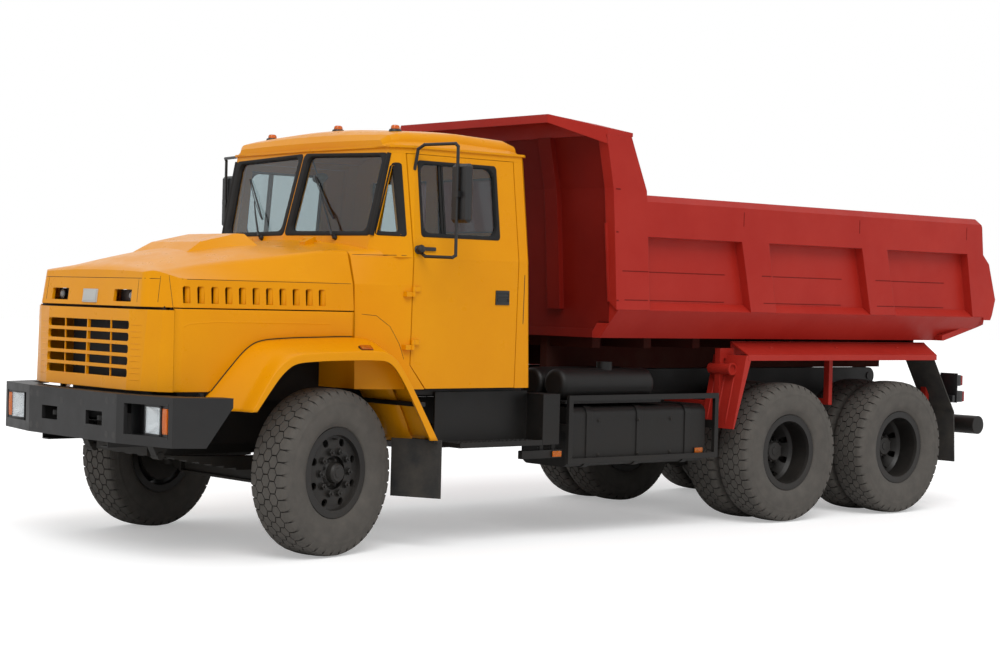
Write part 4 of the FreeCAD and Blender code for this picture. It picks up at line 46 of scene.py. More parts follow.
# The camera stands off the truck's front left corner at chest height, with a long lens.
# Its place and tilt were fitted to the wheels, the bumper and the bed of the picture.
EYE = Vector((10.6887, 11.7955, 1.7381))
YAW, PITCH, ROLL = -2.2838, -0.0179, 0.0247
LENS_MM = 72.28
SENSOR_MM = 36.0


def aim_camera():
    forward = Vector((math.cos(YAW) * math.cos(PITCH), math.sin(YAW) * math.cos(PITCH), math.sin(PITCH)))
    right = Vector((math.sin(YAW), -math.cos(YAW), 0.0))
    up = right.cross(forward)
    turned_right = right * math.cos(ROLL) + up * math.sin(ROLL)
    turned_up = up * math.cos(ROLL) - right * math.sin(ROLL)
    data = bpy.data.cameras.new("camera")
    data.lens = LENS_MM
    data.sensor_width = SENSOR_MM
    data.clip_end = 200.0
    camera = bpy.data.objects.new("camera", data)
    scene.collection.objects.link(camera)
    matrix = Matrix((turned_right, turned_up, -forward)).transposed().to_4x4()
    matrix.translation = EYE
    camera.matrix_world = matrix
    scene.camera = camera


aim_camera()
scene.view_settings.view_transform = "Standard"

# The studio: a pale floor that runs out to white, a white sweep behind it and soft light from the upper left.
# The floor takes the truck's soft shadow. Nothing here belongs to the truck.
FLOOR_SIZE = 160.0
FLOOR_GLOW = 0.42
FLOOR_PAINT = "EDEDED"
SKY_TOP = "FFFFFF"
SKY_LOW = "B9BCC0"
SKY_STRENGTH = 0.74
SUN_STRENGTH = 1.35
SUN_SPREAD_DEG = 35.0
SUN_WAY = Vector((-0.42, -0.60, -0.80))


def linear(hex_code, alpha=1.0):
    """The linear colour of an sRGB hex value."""
    values = [int(hex_code[i:i + 2], 16) / 255.0 for i in (0, 2, 4)]
    return [v / 12.92 if v <= 0.04045 else ((v + 0.055) / 1.055) ** 2.4 for v in values] + [alpha]


def add_node(tree, kind, inputs=None, **settings):
    """Adds a node with its settings, and fills its sockets with values, hex colours, links or whole nodes."""
    node = tree.nodes.new("ShaderNode" + kind)
    for name, value in settings.items():
        setattr(node, name, value)
    for socket, value in (inputs or {}).items():
        if isinstance(value, bpy.types.Node):
            value = value.outputs[2 if getattr(value, "data_type", "") == "RGBA" else 0]
        if isinstance(value, bpy.types.NodeSocket):
            tree.links.new(value, node.inputs[socket])
        else:
            node.inputs[socket].default_value = linear(value) if isinstance(value, str) else value
    return node


def empty_tree(owner):
    """The cleared node tree of a material or of the world."""
    owner.use_nodes = True
    owner.node_tree.nodes.clear()
    return owner.node_tree


def studio_floor():
    material = bpy.data.materials.new("painted_studio_floor")
    tree = empty_tree(material)
    paint = add_node(tree, "BsdfDiffuse", {"Color": FLOOR_PAINT})
    glow = add_node(tree, "Emission", {"Color": FLOOR_PAINT, "Strength": FLOOR_GLOW})
    both = add_node(tree, "AddShader", {0: paint, 1: glow})
    path = add_node(tree, "LightPath")
    seen = add_node(tree, "MixShader", {"Fac": path.outputs["Is Camera Ray"], 1: paint, 2: both})
    add_node(tree, "OutputMaterial", {"Surface": seen})
    mesh = bpy.data.meshes.new("studio_floor")
    half = FLOOR_SIZE / 2
    corners = [(-half, -half, 0), (half, -half, 0), (half, half, 0), (-half, half, 0)]
    mesh.from_pydata(corners, [], [(0, 1, 2, 3)])
    floor = bpy.data.objects.new("studio_floor", mesh)
    scene.collection.objects.link(floor)
    floor.data.materials.append(material)


def studio_light():
    world = bpy.data.worlds.new("studio")
    scene.world = world
    tree = empty_tree(world)
    where = add_node(tree, "TexCoord").outputs["Generated"]
    height = add_node(tree, "SeparateXYZ", {0: where}).outputs["Z"]
    ramp = add_node(tree, "MapRange", {"Value": height, "From Min": -0.1, "From Max": 0.6})
    sky = add_node(tree, "Mix", {"Factor": ramp, 6: SKY_LOW, 7: SKY_TOP}, data_type="RGBA")
    light = add_node(tree, "Background", {"Color": sky, "Strength": SKY_STRENGTH})
    white = add_node(tree, "Background", {"Color": "FFFFFF", "Strength": 1.0})
    path = add_node(tree, "LightPath").outputs
    seen = add_node(tree, "Math", {0: path["Is Camera Ray"], 1: path["Is Glossy Ray"]}, operation="ADD")
    seen = add_node(tree, "Math", {0: seen, 1: path["Is Transmission Ray"]}, operation="ADD", use_clamp=True)
    mixed = add_node(tree, "MixShader", {"Fac": seen, 1: light, 2: white})
    add_node(tree, "OutputWorld", {"Surface": mixed})
    sun = bpy.data.lights.new("soft_key", "SUN")
    sun.energy = SUN_STRENGTH
    sun.angle = math.radians(SUN_SPREAD_DEG)
    lamp = bpy.data.objects.new("soft_key", sun)
    scene.collection.objects.link(lamp)
    lamp.rotation_mode = "QUATERNION"
    lamp.rotation_quaternion = SUN_WAY.to_track_quat("-Z", "Y")


studio_floor()
studio_light()

# Ladder frame and what is bolted to it low down: pressed steel channels, subframe, tanks and brackets.
# They are brushed and sprayed satin black, and road dust dulls them towards the bottom.
BLACK_PAINT = "0B0B0C"
ROAD_DUST = "5A534A"


def new_material(name):
    """An empty material, its node tree and the object's own coordinates in metres."""
    material = bpy.data.materials.new(name)
    tree = empty_tree(material)
    return material, tree, add_node(tree, "TexCoord").outputs["Object"]


def satin_black_paint(name, colour, dust, roughness, grain_mm=2.0, edge_mm=4.0):
    """Brushed satin black enamel over steel: dark, soft gloss, with dust that gathers low and in patches."""
    material, tree, place = new_material(name)
    patches = add_node(tree, "TexNoise", {"Vector": place, "Scale": 3.5, "Detail": 6.0, "Roughness": 0.62})
    low = add_node(tree, "SeparateXYZ", {0: place}).outputs["Z"]
    fall = add_node(tree, "MapRange", {"Value": low, "From Min": 1.5, "From Max": 0.4, "To Max": dust})
    weight = add_node(tree, "Math", {0: fall, 1: patches}, operation="MULTIPLY")
    colours = add_node(tree, "Mix", {"Factor": weight, 6: colour, 7: ROAD_DUST}, data_type="RGBA")
    sheen = add_node(tree, "MapRange", {"Value": patches, "From Min": 0.3, "From Max": 0.7,
                                        "To Min": roughness - 0.08, "To Max": roughness + 0.14})
    grain = add_node(tree, "TexNoise", {"Vector": place, "Scale": 1000.0 / (grain_mm * 8.0), "Detail": 3.0})
    edge = add_node(tree, "Bevel", {"Radius": edge_mm / 1000.0}, samples=4)
    bump = add_node(tree, "Bump", {"Height": grain, "Strength": 0.25, "Distance": 0.0015, "Normal": edge})
    skin = add_node(tree, "BsdfPrincipled", {"Base Color": colours, "Roughness": sheen, "Normal": bump,
                                             "Specular IOR Level": 0.28})
    add_node(tree, "OutputMaterial", {"Surface": skin})
    return material


def dress(material, *names):
    """Gives CAD nodes a material."""
    for name in names:
        mesh = nodes[name].data
        mesh.materials.clear()
        mesh.materials.append(material)


chassis_black = satin_black_paint("satin_black_chassis_paint", BLACK_PAINT, 0.22, 0.46)
dress(chassis_black, "chassis_frame", "bed_subframe", "steps", "fuel_tanks", "air_reservoirs", "underrun_bar",
      "tie_rod")

# Axles, knuckles, springs, gearbox and engine are castings and forgings in the same black,
# rougher and dustier than the sheet steel around them.
running_gear_black = satin_black_paint("cast_iron_under_black_paint", "0F0F0F", 0.45, 0.6, 5.0, 6.0)
dress(running_gear_black, "front_axle", "drive_axles", "leaf_springs", "drive_train", "engine_block",
      "radiator", "knuckle_left", "knuckle_right", "hoist_barrels")


# Fittings along the frame: grip studs pressed up through the step boards, screwed filler caps on the tanks,
# and the folded brackets of the side marker lamps.
def piece(name, mesh, material, body, smooth_deg=35.0):
    """Turns a bmesh into an object that rides on a body and takes the given material."""
    bmesh.ops.recalc_face_normals(mesh, faces=mesh.faces[:])
    data = bpy.data.meshes.new(name)
    mesh.to_mesh(data)
    mesh.free()
    data.materials.append(material)
    data.shade_smooth()
    data.set_sharp_from_angle(angle=math.radians(smooth_deg))
    thing = bpy.data.objects.new(name, data)
    scene.collection.objects.link(thing)
    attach(thing, body)
    return thing


def facing(centre, normal):
    """A frame at a point whose Z looks along the normal."""
    return Matrix.Translation(Vector(centre)) @ Vector(normal).to_track_quat("Z", "Y").to_matrix().to_4x4()


def stitch(mesh, rows, ring=False, loop=False):
    """Faces between rows of points. A ring closes each row, a loop joins the last row to the first."""
    for low, high in list(zip(rows, rows[1:])) + ([(rows[-1], rows[0])] if loop else []):
        for k in range(len(low) if ring else len(low) - 1):
            n = (k + 1) % len(low)
            mesh.faces.new((low[k], low[n], high[n], high[k]))


def lathe(mesh, profile, place, count=24):
    """A turned form about Z from (radius, height) points, first and last on the axis or left open."""
    turns = [2 * math.pi * i / count for i in range(count)]
    rings = []
    for r, h in profile:
        spots = [(r * math.cos(t), r * math.sin(t), h) for t in turns] if r > 1e-6 else [(0, 0, h)]
        rings.append([mesh.verts.new(place @ Vector(spot)) for spot in spots])
    for low, high in zip(rings, rings[1:]):
        for i in range(count):
            k = (i + 1) % count
            corners = (low[i % len(low)], low[k % len(low)], high[k % len(high)], high[i % len(high)])
            kept = list(dict.fromkeys(corners))
            if len(kept) > 2:
                mesh.faces.new(kept)


def hex_bolt(mesh, centre, normal, across, height):
    """A hexagon head with a chamfered top on a round washer."""
    place = facing(centre, normal)
    washer, thick, r = across * 0.95, 0.003, across / math.sqrt(3)
    lathe(mesh, [(0, 0.0), (washer, 0.0), (washer, thick), (0.0, thick)], place, 18)
    lathe(mesh, [(r, thick), (r, height - 0.002), (r * 0.88, height), (0, height)], place, 6)


def solid_block(mesh, corner, opposite, bevel=0.003, turn=None):
    """A box with bevelled edges between two corners, given in any order."""
    made = bmesh.ops.create_cube(mesh, size=1.0)
    size = [abs(b - a) for a, b in zip(corner, opposite)]
    middle = [(a + b) / 2 for a, b in zip(corner, opposite)]
    matrix = Matrix.Translation(middle) @ Matrix.Diagonal(size + [1.0])
    bmesh.ops.transform(mesh, matrix=(turn or Matrix()) @ matrix, verts=made["verts"])
    if bevel:
        edges = list({e for v in made["verts"] for e in v.link_edges})
        bmesh.ops.bevel(mesh, geom=edges, offset=bevel, segments=2, profile=0.6, affect="EDGES")


def mirrored_block(mesh, side, x, y, z, bevel):
    """A bevelled box from its spans along each axis, on the left side (1) or the right (-1)."""
    solid_block(mesh, (x[0], side * y[0], z[0]), (x[1], side * y[1], z[1]), bevel)


def surface(*names):
    """A search tree over the faces of CAD nodes, to seat small pieces on, and how the face counts add up."""
    points, faces, counts = [], [], []
    for name in names:
        mesh = nodes[name].data
        base = len(points)
        points += [v.co.copy() for v in mesh.vertices]
        faces += [[base + i for i in face.vertices] for face in mesh.polygons]
        counts.append(len(faces))
    return BVHTree.FromPolygons(points, faces), counts


def seat(tree, start, direction):
    """Where a line meets the surface, and the surface's normal there, turned towards the line's start."""
    hit, normal = tree.ray_cast(Vector(start), Vector(direction))[:2]
    return hit, -normal if normal.dot(Vector(direction)) > 0 else normal


SIDES = ((1, "left"), (-1, "right"))
FORWARD, BACK, DOWN = (1, 0, 0), (-1, 0, 0), (0, 0, -1)
BESIDE, AHEAD = 2.0, 5.0      # where a line that looks for a surface starts, outside the truck
STEP_X = (1.112, 1.852)
STEP_Y = (1.005, 1.192)
STEP_TOP = 0.722
STUDS_LONG, STUDS_ACROSS = 34, 8
GRIP_STUD = [(0.0085, -0.0005), (0.006, 0.0028), (0.0, 0.0034)]
GRIP_STUD_SHAPE = Matrix.Diagonal((1.0, 0.45, 1.0, 1.0))
grip = bmesh.new()
for side, word in SIDES:
    for i in range(STUDS_LONG):
        for k in range(STUDS_ACROSS):
            x = STEP_X[0] + (STEP_X[1] - STEP_X[0]) * (i + 0.5 + 0.5 * (k % 2)) / (STUDS_LONG + 0.5)
            y = STEP_Y[0] + (STEP_Y[1] - STEP_Y[0]) * (k + 0.5) / STUDS_ACROSS
            lean = Matrix.Rotation(math.radians(45 if (i + k) % 2 else -45), 4, "Z")
            place = Matrix.Translation((x, side * y, STEP_TOP)) @ lean @ GRIP_STUD_SHAPE
            lathe(grip, GRIP_STUD, place, 6)
    mirrored_block(grip, side, (STEP_X[0] - 0.008, STEP_X[1] + 0.008), (1.194, 1.2),
                   (STEP_TOP - 0.002, STEP_TOP + 0.006), 0.002)
piece("step_grip_studs", grip, chassis_black, "chassis")

TANK_TOP = 0.97
FILLER_CAP = [(0.052, -0.004), (0.050, 0.030), (0.062, 0.032), (0.062, 0.052), (0.054, 0.058), (0.0, 0.060)]
caps = bmesh.new()
tank_skin, _ = surface("fuel_tanks")
for side, x in ((1, 0.62), (-1, 0.58)):
    spot, normal = seat(tank_skin, (x, side * 0.93, BESIDE), DOWN)
    if spot.z < TANK_TOP:
        lathe(caps, FILLER_CAP, Matrix.Translation(spot), 28)
for x in (0.505, 0.105, -0.245):
    for z in (0.60, 0.85):
        hex_bolt(caps, *seat(tank_skin, (x, BESIDE, z), (0, -1, 0)), 0.016, 0.010)
piece("tank_caps_and_bolts", caps, running_gear_black, "chassis")

bracket = bmesh.new()
for side, word in SIDES:
    mirrored_block(bracket, side, (0.872, 1.262), (1.120, 1.166), (0.592, 0.652), 0.004)
    for x in (0.945, 1.06):
        mirrored_block(bracket, side, (x - 0.018, x + 0.018), (1.125, 1.145), (0.645, 0.700), 0.003)
piece("side_marker_brackets", bracket, chassis_black, "chassis")

# Wheels: pressed steel discs in riveted rims with a split side ring, sprayed black.
# Ten nuts on studs hold each disc to its hub.
rim_black = satin_black_paint("sprayed_black_rim_paint", "151516", 0.28, 0.38, 2.0, 3.0)
for kind in ("front_wheel", "middle_wheels", "rear_wheels"):
    dress(rim_black, kind + "_left", kind + "_right")

# Tyres, size 12.00R20: a carcass with a smooth side wall, three rows of hexagonal blocks
# and a row of heavy lugs over each shoulder. The rubber is worn grey and dusty.
TYRE_RADIUS = AXLE_HEIGHT = 0.555
TREAD_ROW = 0.055
PITCHES = 42
BLOCK_GAP = 0.0035
# outer line of the tyre from the middle of the tread to the bead: across, out, depth of the grooves there
TYRE_LINE = [
    (0.0, 0.5550, 0.016), (0.045, 0.5543, 0.016), (0.090, 0.5515, 0.016), (0.120, 0.5470, 0.016),
    (0.136, 0.5400, 0.015), (0.1445, 0.5260, 0.012), (0.1490, 0.5080, 0.009), (0.1520, 0.4880, 0.006),
    (0.1535, 0.4740, 0.0), (0.1560, 0.4660, 0.0), (0.1535, 0.4580, 0.0), (0.1560, 0.4400, 0.0),
    (0.1565, 0.4150, 0.0), (0.1545, 0.3850, 0.0), (0.1490, 0.3550, 0.0), (0.1400, 0.3300, 0.0),
    (0.1330, 0.3230, 0.0), (0.1300, 0.3120, 0.0), (0.1215, 0.3060, 0.0), (0.1100, 0.3020, 0.0),
]
# the carcass inside, from bead to bead: across, out
INNER_LINE = [(0.104, 0.290), (0.06, 0.348), (-0.06, 0.348), (-0.104, 0.290)]
# a block's foot, chamfer and face: how much it grows, and its depth as a share of the groove's
BLOCK_STEPS = ((0.0012, 1.15), (0.0, 0.16), (-0.0028, 0.0))


def worn_tyre_rubber():
    """Worn truck tyre rubber: grey brown with dust, no gloss, fine grain, and grooves darkened by ambient
    occlusion as painted shade.
    """
    material, tree, place = new_material("worn_tyre_rubber")
    blotch = add_node(tree, "TexNoise", {"Vector": place, "Scale": 9.0, "Detail": 8.0, "Roughness": 0.65})
    tone = add_node(tree, "Mix", {"Factor": blotch, 6: "3F3D3A", 7: "625D57"}, data_type="RGBA")
    # Ambient occlusion darkens the grooves and the gaps between the blocks: painted shade.
    deep = add_node(tree, "AmbientOcclusion", {"Distance": 0.03}, samples=6, only_local=True).outputs["AO"]
    shade = add_node(tree, "MapRange", {"Value": deep, "From Min": 0.35, "From Max": 0.85, "To Min": 0.32,
                                        "To Max": 1.0})
    colour = add_node(tree, "Mix", {"Factor": shade, 6: "1E1C1B", 7: tone}, data_type="RGBA")
    grain = add_node(tree, "TexNoise", {"Vector": place, "Scale": 420.0, "Detail": 2.0})
    bump = add_node(tree, "Bump", {"Height": grain, "Strength": 0.3, "Distance": 0.001})
    skin = add_node(tree, "BsdfPrincipled", {"Base Color": colour, "Roughness": 0.82, "Normal": bump,
                                             "Specular IOR Level": 0.35})
    add_node(tree, "OutputMaterial", {"Surface": skin})
    return material


tyre_rubber = worn_tyre_rubber()
LINE_AT = [0.0]
for (a, b, _), (c, d, _) in zip(TYRE_LINE, TYRE_LINE[1:]):
    LINE_AT.append(LINE_AT[-1] + math.hypot(c - a, d - b))


def on_tyre(u, s, sink):
    """The point at u along the tyre's line and s round the tread, sunk by a share of the groove's depth."""
    side = -1.0 if u < 0 else 1.0
    u = min(abs(u), LINE_AT[-1])
    i = max(k for k in range(len(LINE_AT) - 1) if LINE_AT[k] <= u)
    share = (u - LINE_AT[i]) / (LINE_AT[i + 1] - LINE_AT[i])
    a, b = TYRE_LINE[i], TYRE_LINE[i + 1]
    y, r, depth = [a[k] + (b[k] - a[k]) * share for k in range(3)]
    across, out = -(b[1] - a[1]), b[0] - a[0]
    drop = max(depth, 0.002) * sink / math.hypot(across, out)
    y, r = y - across * drop, r - out * drop
    turn = s / TYRE_RADIUS
    return (r * math.sin(turn), side * y, r * math.cos(turn))


def add_block(mesh, stations):
    """A rubber block from stations (u, lower s, upper s): its foot, its chamfer and its face."""
    middle_u = sum(s[0] for s in stations) / len(stations)
    middle_s = sum(s[1] + s[2] for s in stations) / (2 * len(stations))
    span_u = max(abs(s[0] - middle_u) for s in stations)
    span_s = max(abs(s[2] - middle_s) for s in stations)
    rings = []
    for grow, sink in BLOCK_STEPS:
        lows, highs = [], []
        for u, s0, s1 in stations:
            gu = middle_u + (u - middle_u) * (1 + grow / span_u)
            g0, g1 = [middle_s + (s - middle_s) * (1 + grow / span_s) for s in (s0, s1)]
            lows.append(mesh.verts.new(on_tyre(gu, g0, sink)))
            highs.append(mesh.verts.new(on_tyre(gu, g1, sink)) if s1 - s0 > 1e-6 else lows[-1])
        rings.append(lows + [v for v in reversed(highs) if v not in lows])
    stitch(mesh, rings, ring=True)
    for i in range(len(stations) - 1):
        mesh.faces.new(list(dict.fromkeys((lows[i], lows[i + 1], highs[i + 1], highs[i]))))


def tyre_mesh():
    """One tyre round the Y axis with its middle at the origin, mirrored about its middle."""
    mesh = bmesh.new()
    steps = PITCHES * 2
    line = [(y, r - d) for y, r, d in TYRE_LINE]
    around = [(-y, r) for y, r in reversed(line)] + line[1:] + INNER_LINE
    turns = [2 * math.pi * i / steps for i in range(steps)]
    stitch(mesh, [[mesh.verts.new((r * math.sin(t), y, r * math.cos(t))) for y, r in around] for t in turns],
           ring=True, loop=True)
    smooth_faces = len(mesh.faces)
    pitch = 2 * math.pi * TYRE_RADIUS / PITCHES
    half = pitch / 2 - BLOCK_GAP
    wide = TREAD_ROW * 2 / 3 - BLOCK_GAP
    narrow = TREAD_ROW / 3 - BLOCK_GAP * 0.4
    # a shoulder lug: places along the line and half its width there; every second lug reaches further down
    lug = [(2 * TREAD_ROW - TREAD_ROW * 2 / 3 + BLOCK_GAP, 0.0), (2 * TREAD_ROW - TREAD_ROW / 3, half),
           (0.122, half), (0.141, half * 0.92), (0.160, half * 0.80), (0.180, half * 0.72)]
    for i in range(PITCHES):
        for row in (-1, 0, 1):
            u = row * TREAD_ROW
            s = (i + (0.5 if row == 0 else 0.0)) * pitch
            add_block(mesh, [(u - wide, s, s), (u - narrow, s - half, s + half),
                             (u + narrow, s - half, s + half), (u + wide, s, s)])
        for side in (-1, 1):
            s = (i + 0.5) * pitch
            long_lug = lug + ([(0.194, half * 0.66)] if i % 2 else [])
            stations = [(side * u, s - h, s + h) for u, h in long_lug]
            add_block(mesh, stations if side > 0 else list(reversed(stations)))
    bmesh.ops.recalc_face_normals(mesh, faces=mesh.faces[:])
    data = bpy.data.meshes.new("tyre")
    mesh.to_mesh(data)
    mesh.free()
    for k, face in enumerate(data.polygons):
        face.use_smooth = k < smooth_faces
    data.materials.append(tyre_rubber)
    return data


def place_tyre(name, data, x, y, turn_deg, body, node):
    tyre = bpy.data.objects.new(name, data)
    scene.collection.objects.link(tyre)
    # each tyre has rolled to its own place: the second of two draws
    roll = [random.uniform(0.0, 6.28) for draw in range(2)][1]
    steered = Matrix.Rotation(math.radians(turn_deg), 4, "Z")
    tyre.matrix_world = Matrix.Translation((x, y, AXLE_HEIGHT)) @ steered @ Matrix.Rotation(roll, 4, "Y")
    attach(tyre, body)
    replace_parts(tyre, node)


STEER_DEG = 13.4
KINGPIN = Vector((2.9325, 0.82))
TRACK_OUT = 1.015 - 0.82
TWIN_AXLES = (("middle", -1.5375), ("rear", -2.9375))
OUTER_Y, INNER_Y = 1.0915, 0.7465


def front_hub(side):
    """The middle of a front wheel, turned as it stands, and the way out along its axle."""
    turn = math.radians(STEER_DEG)
    out = Vector((-math.sin(turn), math.cos(turn), 0)) * side
    return Vector((KINGPIN.x, side * KINGPIN.y, AXLE_HEIGHT)) + out * TRACK_OUT, out


TYRE_SHAPE = tyre_mesh()
for side, word in SIDES:
    hub, out = front_hub(side)
    place_tyre("treaded_front_tyre_" + word, TYRE_SHAPE, hub.x, hub.y, STEER_DEG, "front_wheel_" + word,
               "front_tyre_" + word)
    for axle, x in TWIN_AXLES:
        for place, y in (("outer", OUTER_Y), ("inner", INNER_Y)):
            place_tyre(f"treaded_{axle}_{place}_tyre_{word}", TYRE_SHAPE, x, side * y, 0.0,
                       f"{axle}_wheels_{word}", f"{axle}_tyres_{word}")

# Wheel fittings: ten hexagon nuts on flat washers with the stud ends through them, the bolts of the
# hub's cover, its turned cap and the valve. They are sprayed with the rim.
HUB_STUDS = 10
STUD_CIRCLE = 0.143
COVER_BOLTS = 8
COVER_CIRCLE = 0.082
CAP_RING, CAP_TURN = 0.052, 0.3
VALVE_RING = 0.222
# washer, nut and stud end: radius and height from the disc's face, and how many sides
NUT_PARTS = (([(0.0265, -0.0238), (0.0265, -0.0195), (0.023, -0.019)], 20),
             ([(0.0222, -0.021), (0.0222, 0.0), (0.0195, 0.003), (0.0105, 0.003)], 6),
             ([(0.0100, 0.0), (0.0100, 0.012), (0.008, 0.014), (0.0, 0.014)], 12))
HUB_CAP = [(0.036, -0.001), (0.034, 0.0035), (0.031, 0.004), (0.0, 0.004)]


def tube(mesh, points, radius, count=10):
    """A round tube along a line of points, with one radius or one for each point."""
    points = [Vector(p) for p in points]
    sizes = radius if isinstance(radius, list) else [radius] * len(points)
    turns = [2 * math.pi * k / count for k in range(count)]
    rows = []
    for i, (p, size) in enumerate(zip(points, sizes)):
        along = (points[min(i + 1, len(points) - 1)] - points[max(i - 1, 0)]).normalized()
        side = along.cross(Vector((0.0, 0.0, 1.0)))
        if side.length < 1e-3:
            side = along.cross(Vector((1.0, 0.0, 0.0)))
        side.normalize()
        top = side.cross(along).normalized()
        rows.append([mesh.verts.new(p + side * size * math.cos(t) + top * size * math.sin(t)) for t in turns])
    stitch(mesh, rows, ring=True)
    mesh.faces.new(list(reversed(rows[0])))
    mesh.faces.new(rows[-1])


def wheel_fittings(name, node, centre, axis, body):
    """Nuts, washers, stud ends, cover bolts and a valve, each seated on the wheel's own face."""
    skin, _ = surface(node)
    mesh = bmesh.new()
    out = Vector(axis).normalized()
    across = out.cross(Vector((0, 0, 1))).normalized()
    up = across.cross(out).normalized()

    def on_face(radius, turn):
        start = Vector(centre) + out * 0.6 + (across * math.cos(turn) + up * math.sin(turn)) * radius
        return skin.ray_cast(start, -out)[0]

    for i in range(HUB_STUDS):
        place = facing(on_face(STUD_CIRCLE, 2 * math.pi * i / HUB_STUDS), out)
        for profile, count in NUT_PARTS:
            lathe(mesh, profile, place, count)
    for i in range(COVER_BOLTS):
        hex_bolt(mesh, on_face(COVER_CIRCLE, 2 * math.pi * (i + 0.5) / COVER_BOLTS), out, 0.013, 0.008)
    aside = (across * math.cos(CAP_TURN) + up * math.sin(CAP_TURN)) * CAP_RING
    lathe(mesh, HUB_CAP, facing(on_face(CAP_RING, CAP_TURN) - aside, out), 28)
    valve = on_face(VALVE_RING, math.pi / 2)
    tube(mesh, [valve - out * 0.004, valve + out * 0.022, valve + out * 0.040], [0.008, 0.006, 0.005])
    piece(name, mesh, rim_black, body)


for side, word in SIDES:
    hub, out = front_hub(side)
    wheel_fittings("front_wheel_nuts_" + word, "front_wheel_" + word, hub, out, "front_wheel_" + word)
    for axle, x in TWIN_AXLES:
        wheel_fittings(f"{axle}_wheel_nuts_{word}", f"{axle}_wheels_{word}", (x, side * OUTER_Y, AXLE_HEIGHT),
                       (0, side, 0), f"{axle}_wheels_{word}")


# Sprayed steel. The bumper is folded and dark grey. Cab, hood, nose and front fenders are pressed sheet in
# warm yellow, and the bed and the rear fenders are welded plate in red, scratched and a little chalky.
def chipped_enamel(name, colour, deep, faded, roughness, gloss, dust, chips, edge_mm=5.0):
    """Sprayed enamel: even colour with a little fade, fine ripple, dust low down, chips at the edges."""
    material, tree, place = new_material(name)
    fade = add_node(tree, "TexNoise", {"Vector": place, "Scale": 1.6, "Detail": 5.0, "Roughness": 0.6})
    faded_mix = add_node(tree, "MapRange", {"Value": fade, "From Min": 0.35, "From Max": 0.7})
    paint = add_node(tree, "Mix", {"Factor": faded_mix, 6: colour, 7: faded}, data_type="RGBA")
    height = add_node(tree, "SeparateXYZ", {0: place}).outputs["Z"]
    fall = add_node(tree, "MapRange", {"Value": height, "From Min": 1.7, "From Max": 0.7, "To Max": dust})
    cloud = add_node(tree, "TexNoise", {"Vector": place, "Scale": 7.0, "Detail": 7.0, "Roughness": 0.65})
    dusty = add_node(tree, "Math", {0: fall, 1: cloud}, operation="MULTIPLY")
    dusted = add_node(tree, "Mix", {"Factor": dusty, 6: paint, 7: ROAD_DUST}, data_type="RGBA")
    flakes = add_node(tree, "TexNoise", {"Vector": place, "Scale": 55.0, "Detail": 6.0, "Roughness": 0.7})
    chip = add_node(tree, "MapRange", {"Value": flakes, "From Min": 0.70 - chips * 0.05, "From Max": 0.74})
    bare = add_node(tree, "Math", {0: chip, 1: chips}, operation="MULTIPLY")
    worn = add_node(tree, "Mix", {"Factor": bare, 6: dusted, 7: deep}, data_type="RGBA")
    sheen = add_node(tree, "MapRange", {"Value": cloud, "From Min": 0.3, "From Max": 0.7,
                                        "To Min": roughness - 0.05, "To Max": roughness + 0.10})
    ripple = add_node(tree, "TexNoise", {"Vector": place, "Scale": 3.0, "Detail": 2.0})
    edge = add_node(tree, "Bevel", {"Radius": edge_mm / 1000.0}, samples=4)
    bump = add_node(tree, "Bump", {"Height": ripple, "Strength": 0.12, "Distance": 0.02, "Normal": edge})
    skin = add_node(tree, "BsdfPrincipled", {"Base Color": worn, "Roughness": sheen, "Normal": bump,
                                             "Specular IOR Level": gloss})
    add_node(tree, "OutputMaterial", {"Surface": skin})
    return material


bumper_grey = chipped_enamel("dark_grey_bumper_enamel", "1B1B1C", "3E342B", "232324", 0.42, 0.30, 0.10, 0.25)
dress(bumper_grey, "front_bumper")
cab_yellow = chipped_enamel("warm_yellow_cab_enamel", "DF9000", "8A5A1A", "E49700", 0.30, 0.16, 0.05, 0.10)
dress(cab_yellow, "nose_grille", "hood", "front_fenders", "cab_front", "cab_back", "cab_roof", "door_left",
      "door_right")
bed_red = chipped_enamel("red_bed_enamel", "A2231A", "55120D", "AB2C22", 0.42, 0.16, 0.10, 0.5)
dress(bed_red, "bed_floor", "bed_side_left", "bed_side_right", "bed_visor", "rear_fenders")
# The bed's front wall takes a darker copy of the bed's red: painted shade for the shadow the cab casts on it.
shade_darkened_wall_red = chipped_enamel("red_wall_enamel_with_painted_shade", "6E120B", "2A0B08", "7A1810", 0.5, 0.12, 0.15, 0.4)
dress(shade_darkened_wall_red, "bed_front_wall")
bed_under = chipped_enamel("dark_red_underframe_paint", "3A1512", "241010", "3F1A16", 0.6, 0.0, 0.6, 0.2)
dress(bed_under, "bed_underframe")

# Bolts through the bumper into its brackets: thin hexagon heads let in almost flush, sprayed over.
# They stand in pairs beside each bracket, with one pair near the middle.
BUMPER_FACE = 4.1925
BOLT_SUNK = 0.0026
BOLT_PLACES = ((0.13, 0.985), (0.46, 0.80), (0.46, 1.015), (0.55, 0.80), (0.55, 1.015))
zinc_black = satin_black_paint("sprayed_over_bolt_heads", "232324", 0.5, 0.42, 1.0, 1.0)
bolts = bmesh.new()
for y, z in BOLT_PLACES:
    for side, word in SIDES:
        hex_bolt(bolts, (BUMPER_FACE - BOLT_SUNK, side * y, z), FORWARD, 0.024, 0.0012)
piece("bumper_bolts", bolts, zinc_black, "chassis")

# Headlamps in the bumper's pockets: a plated reflector bowl and a bulb behind a clear fluted lens,
# in a black frame. The amber indicator beside each is a fluted lens on a grey base.
HEAD_LAMP_Y = (0.802, 0.973)
INDICATOR_Y = (0.985, 1.050)
HEAD_LAMP_Z = (0.829, 0.996)
LAMP_PLANE = 4.108
LAMP_BACK = 4.045
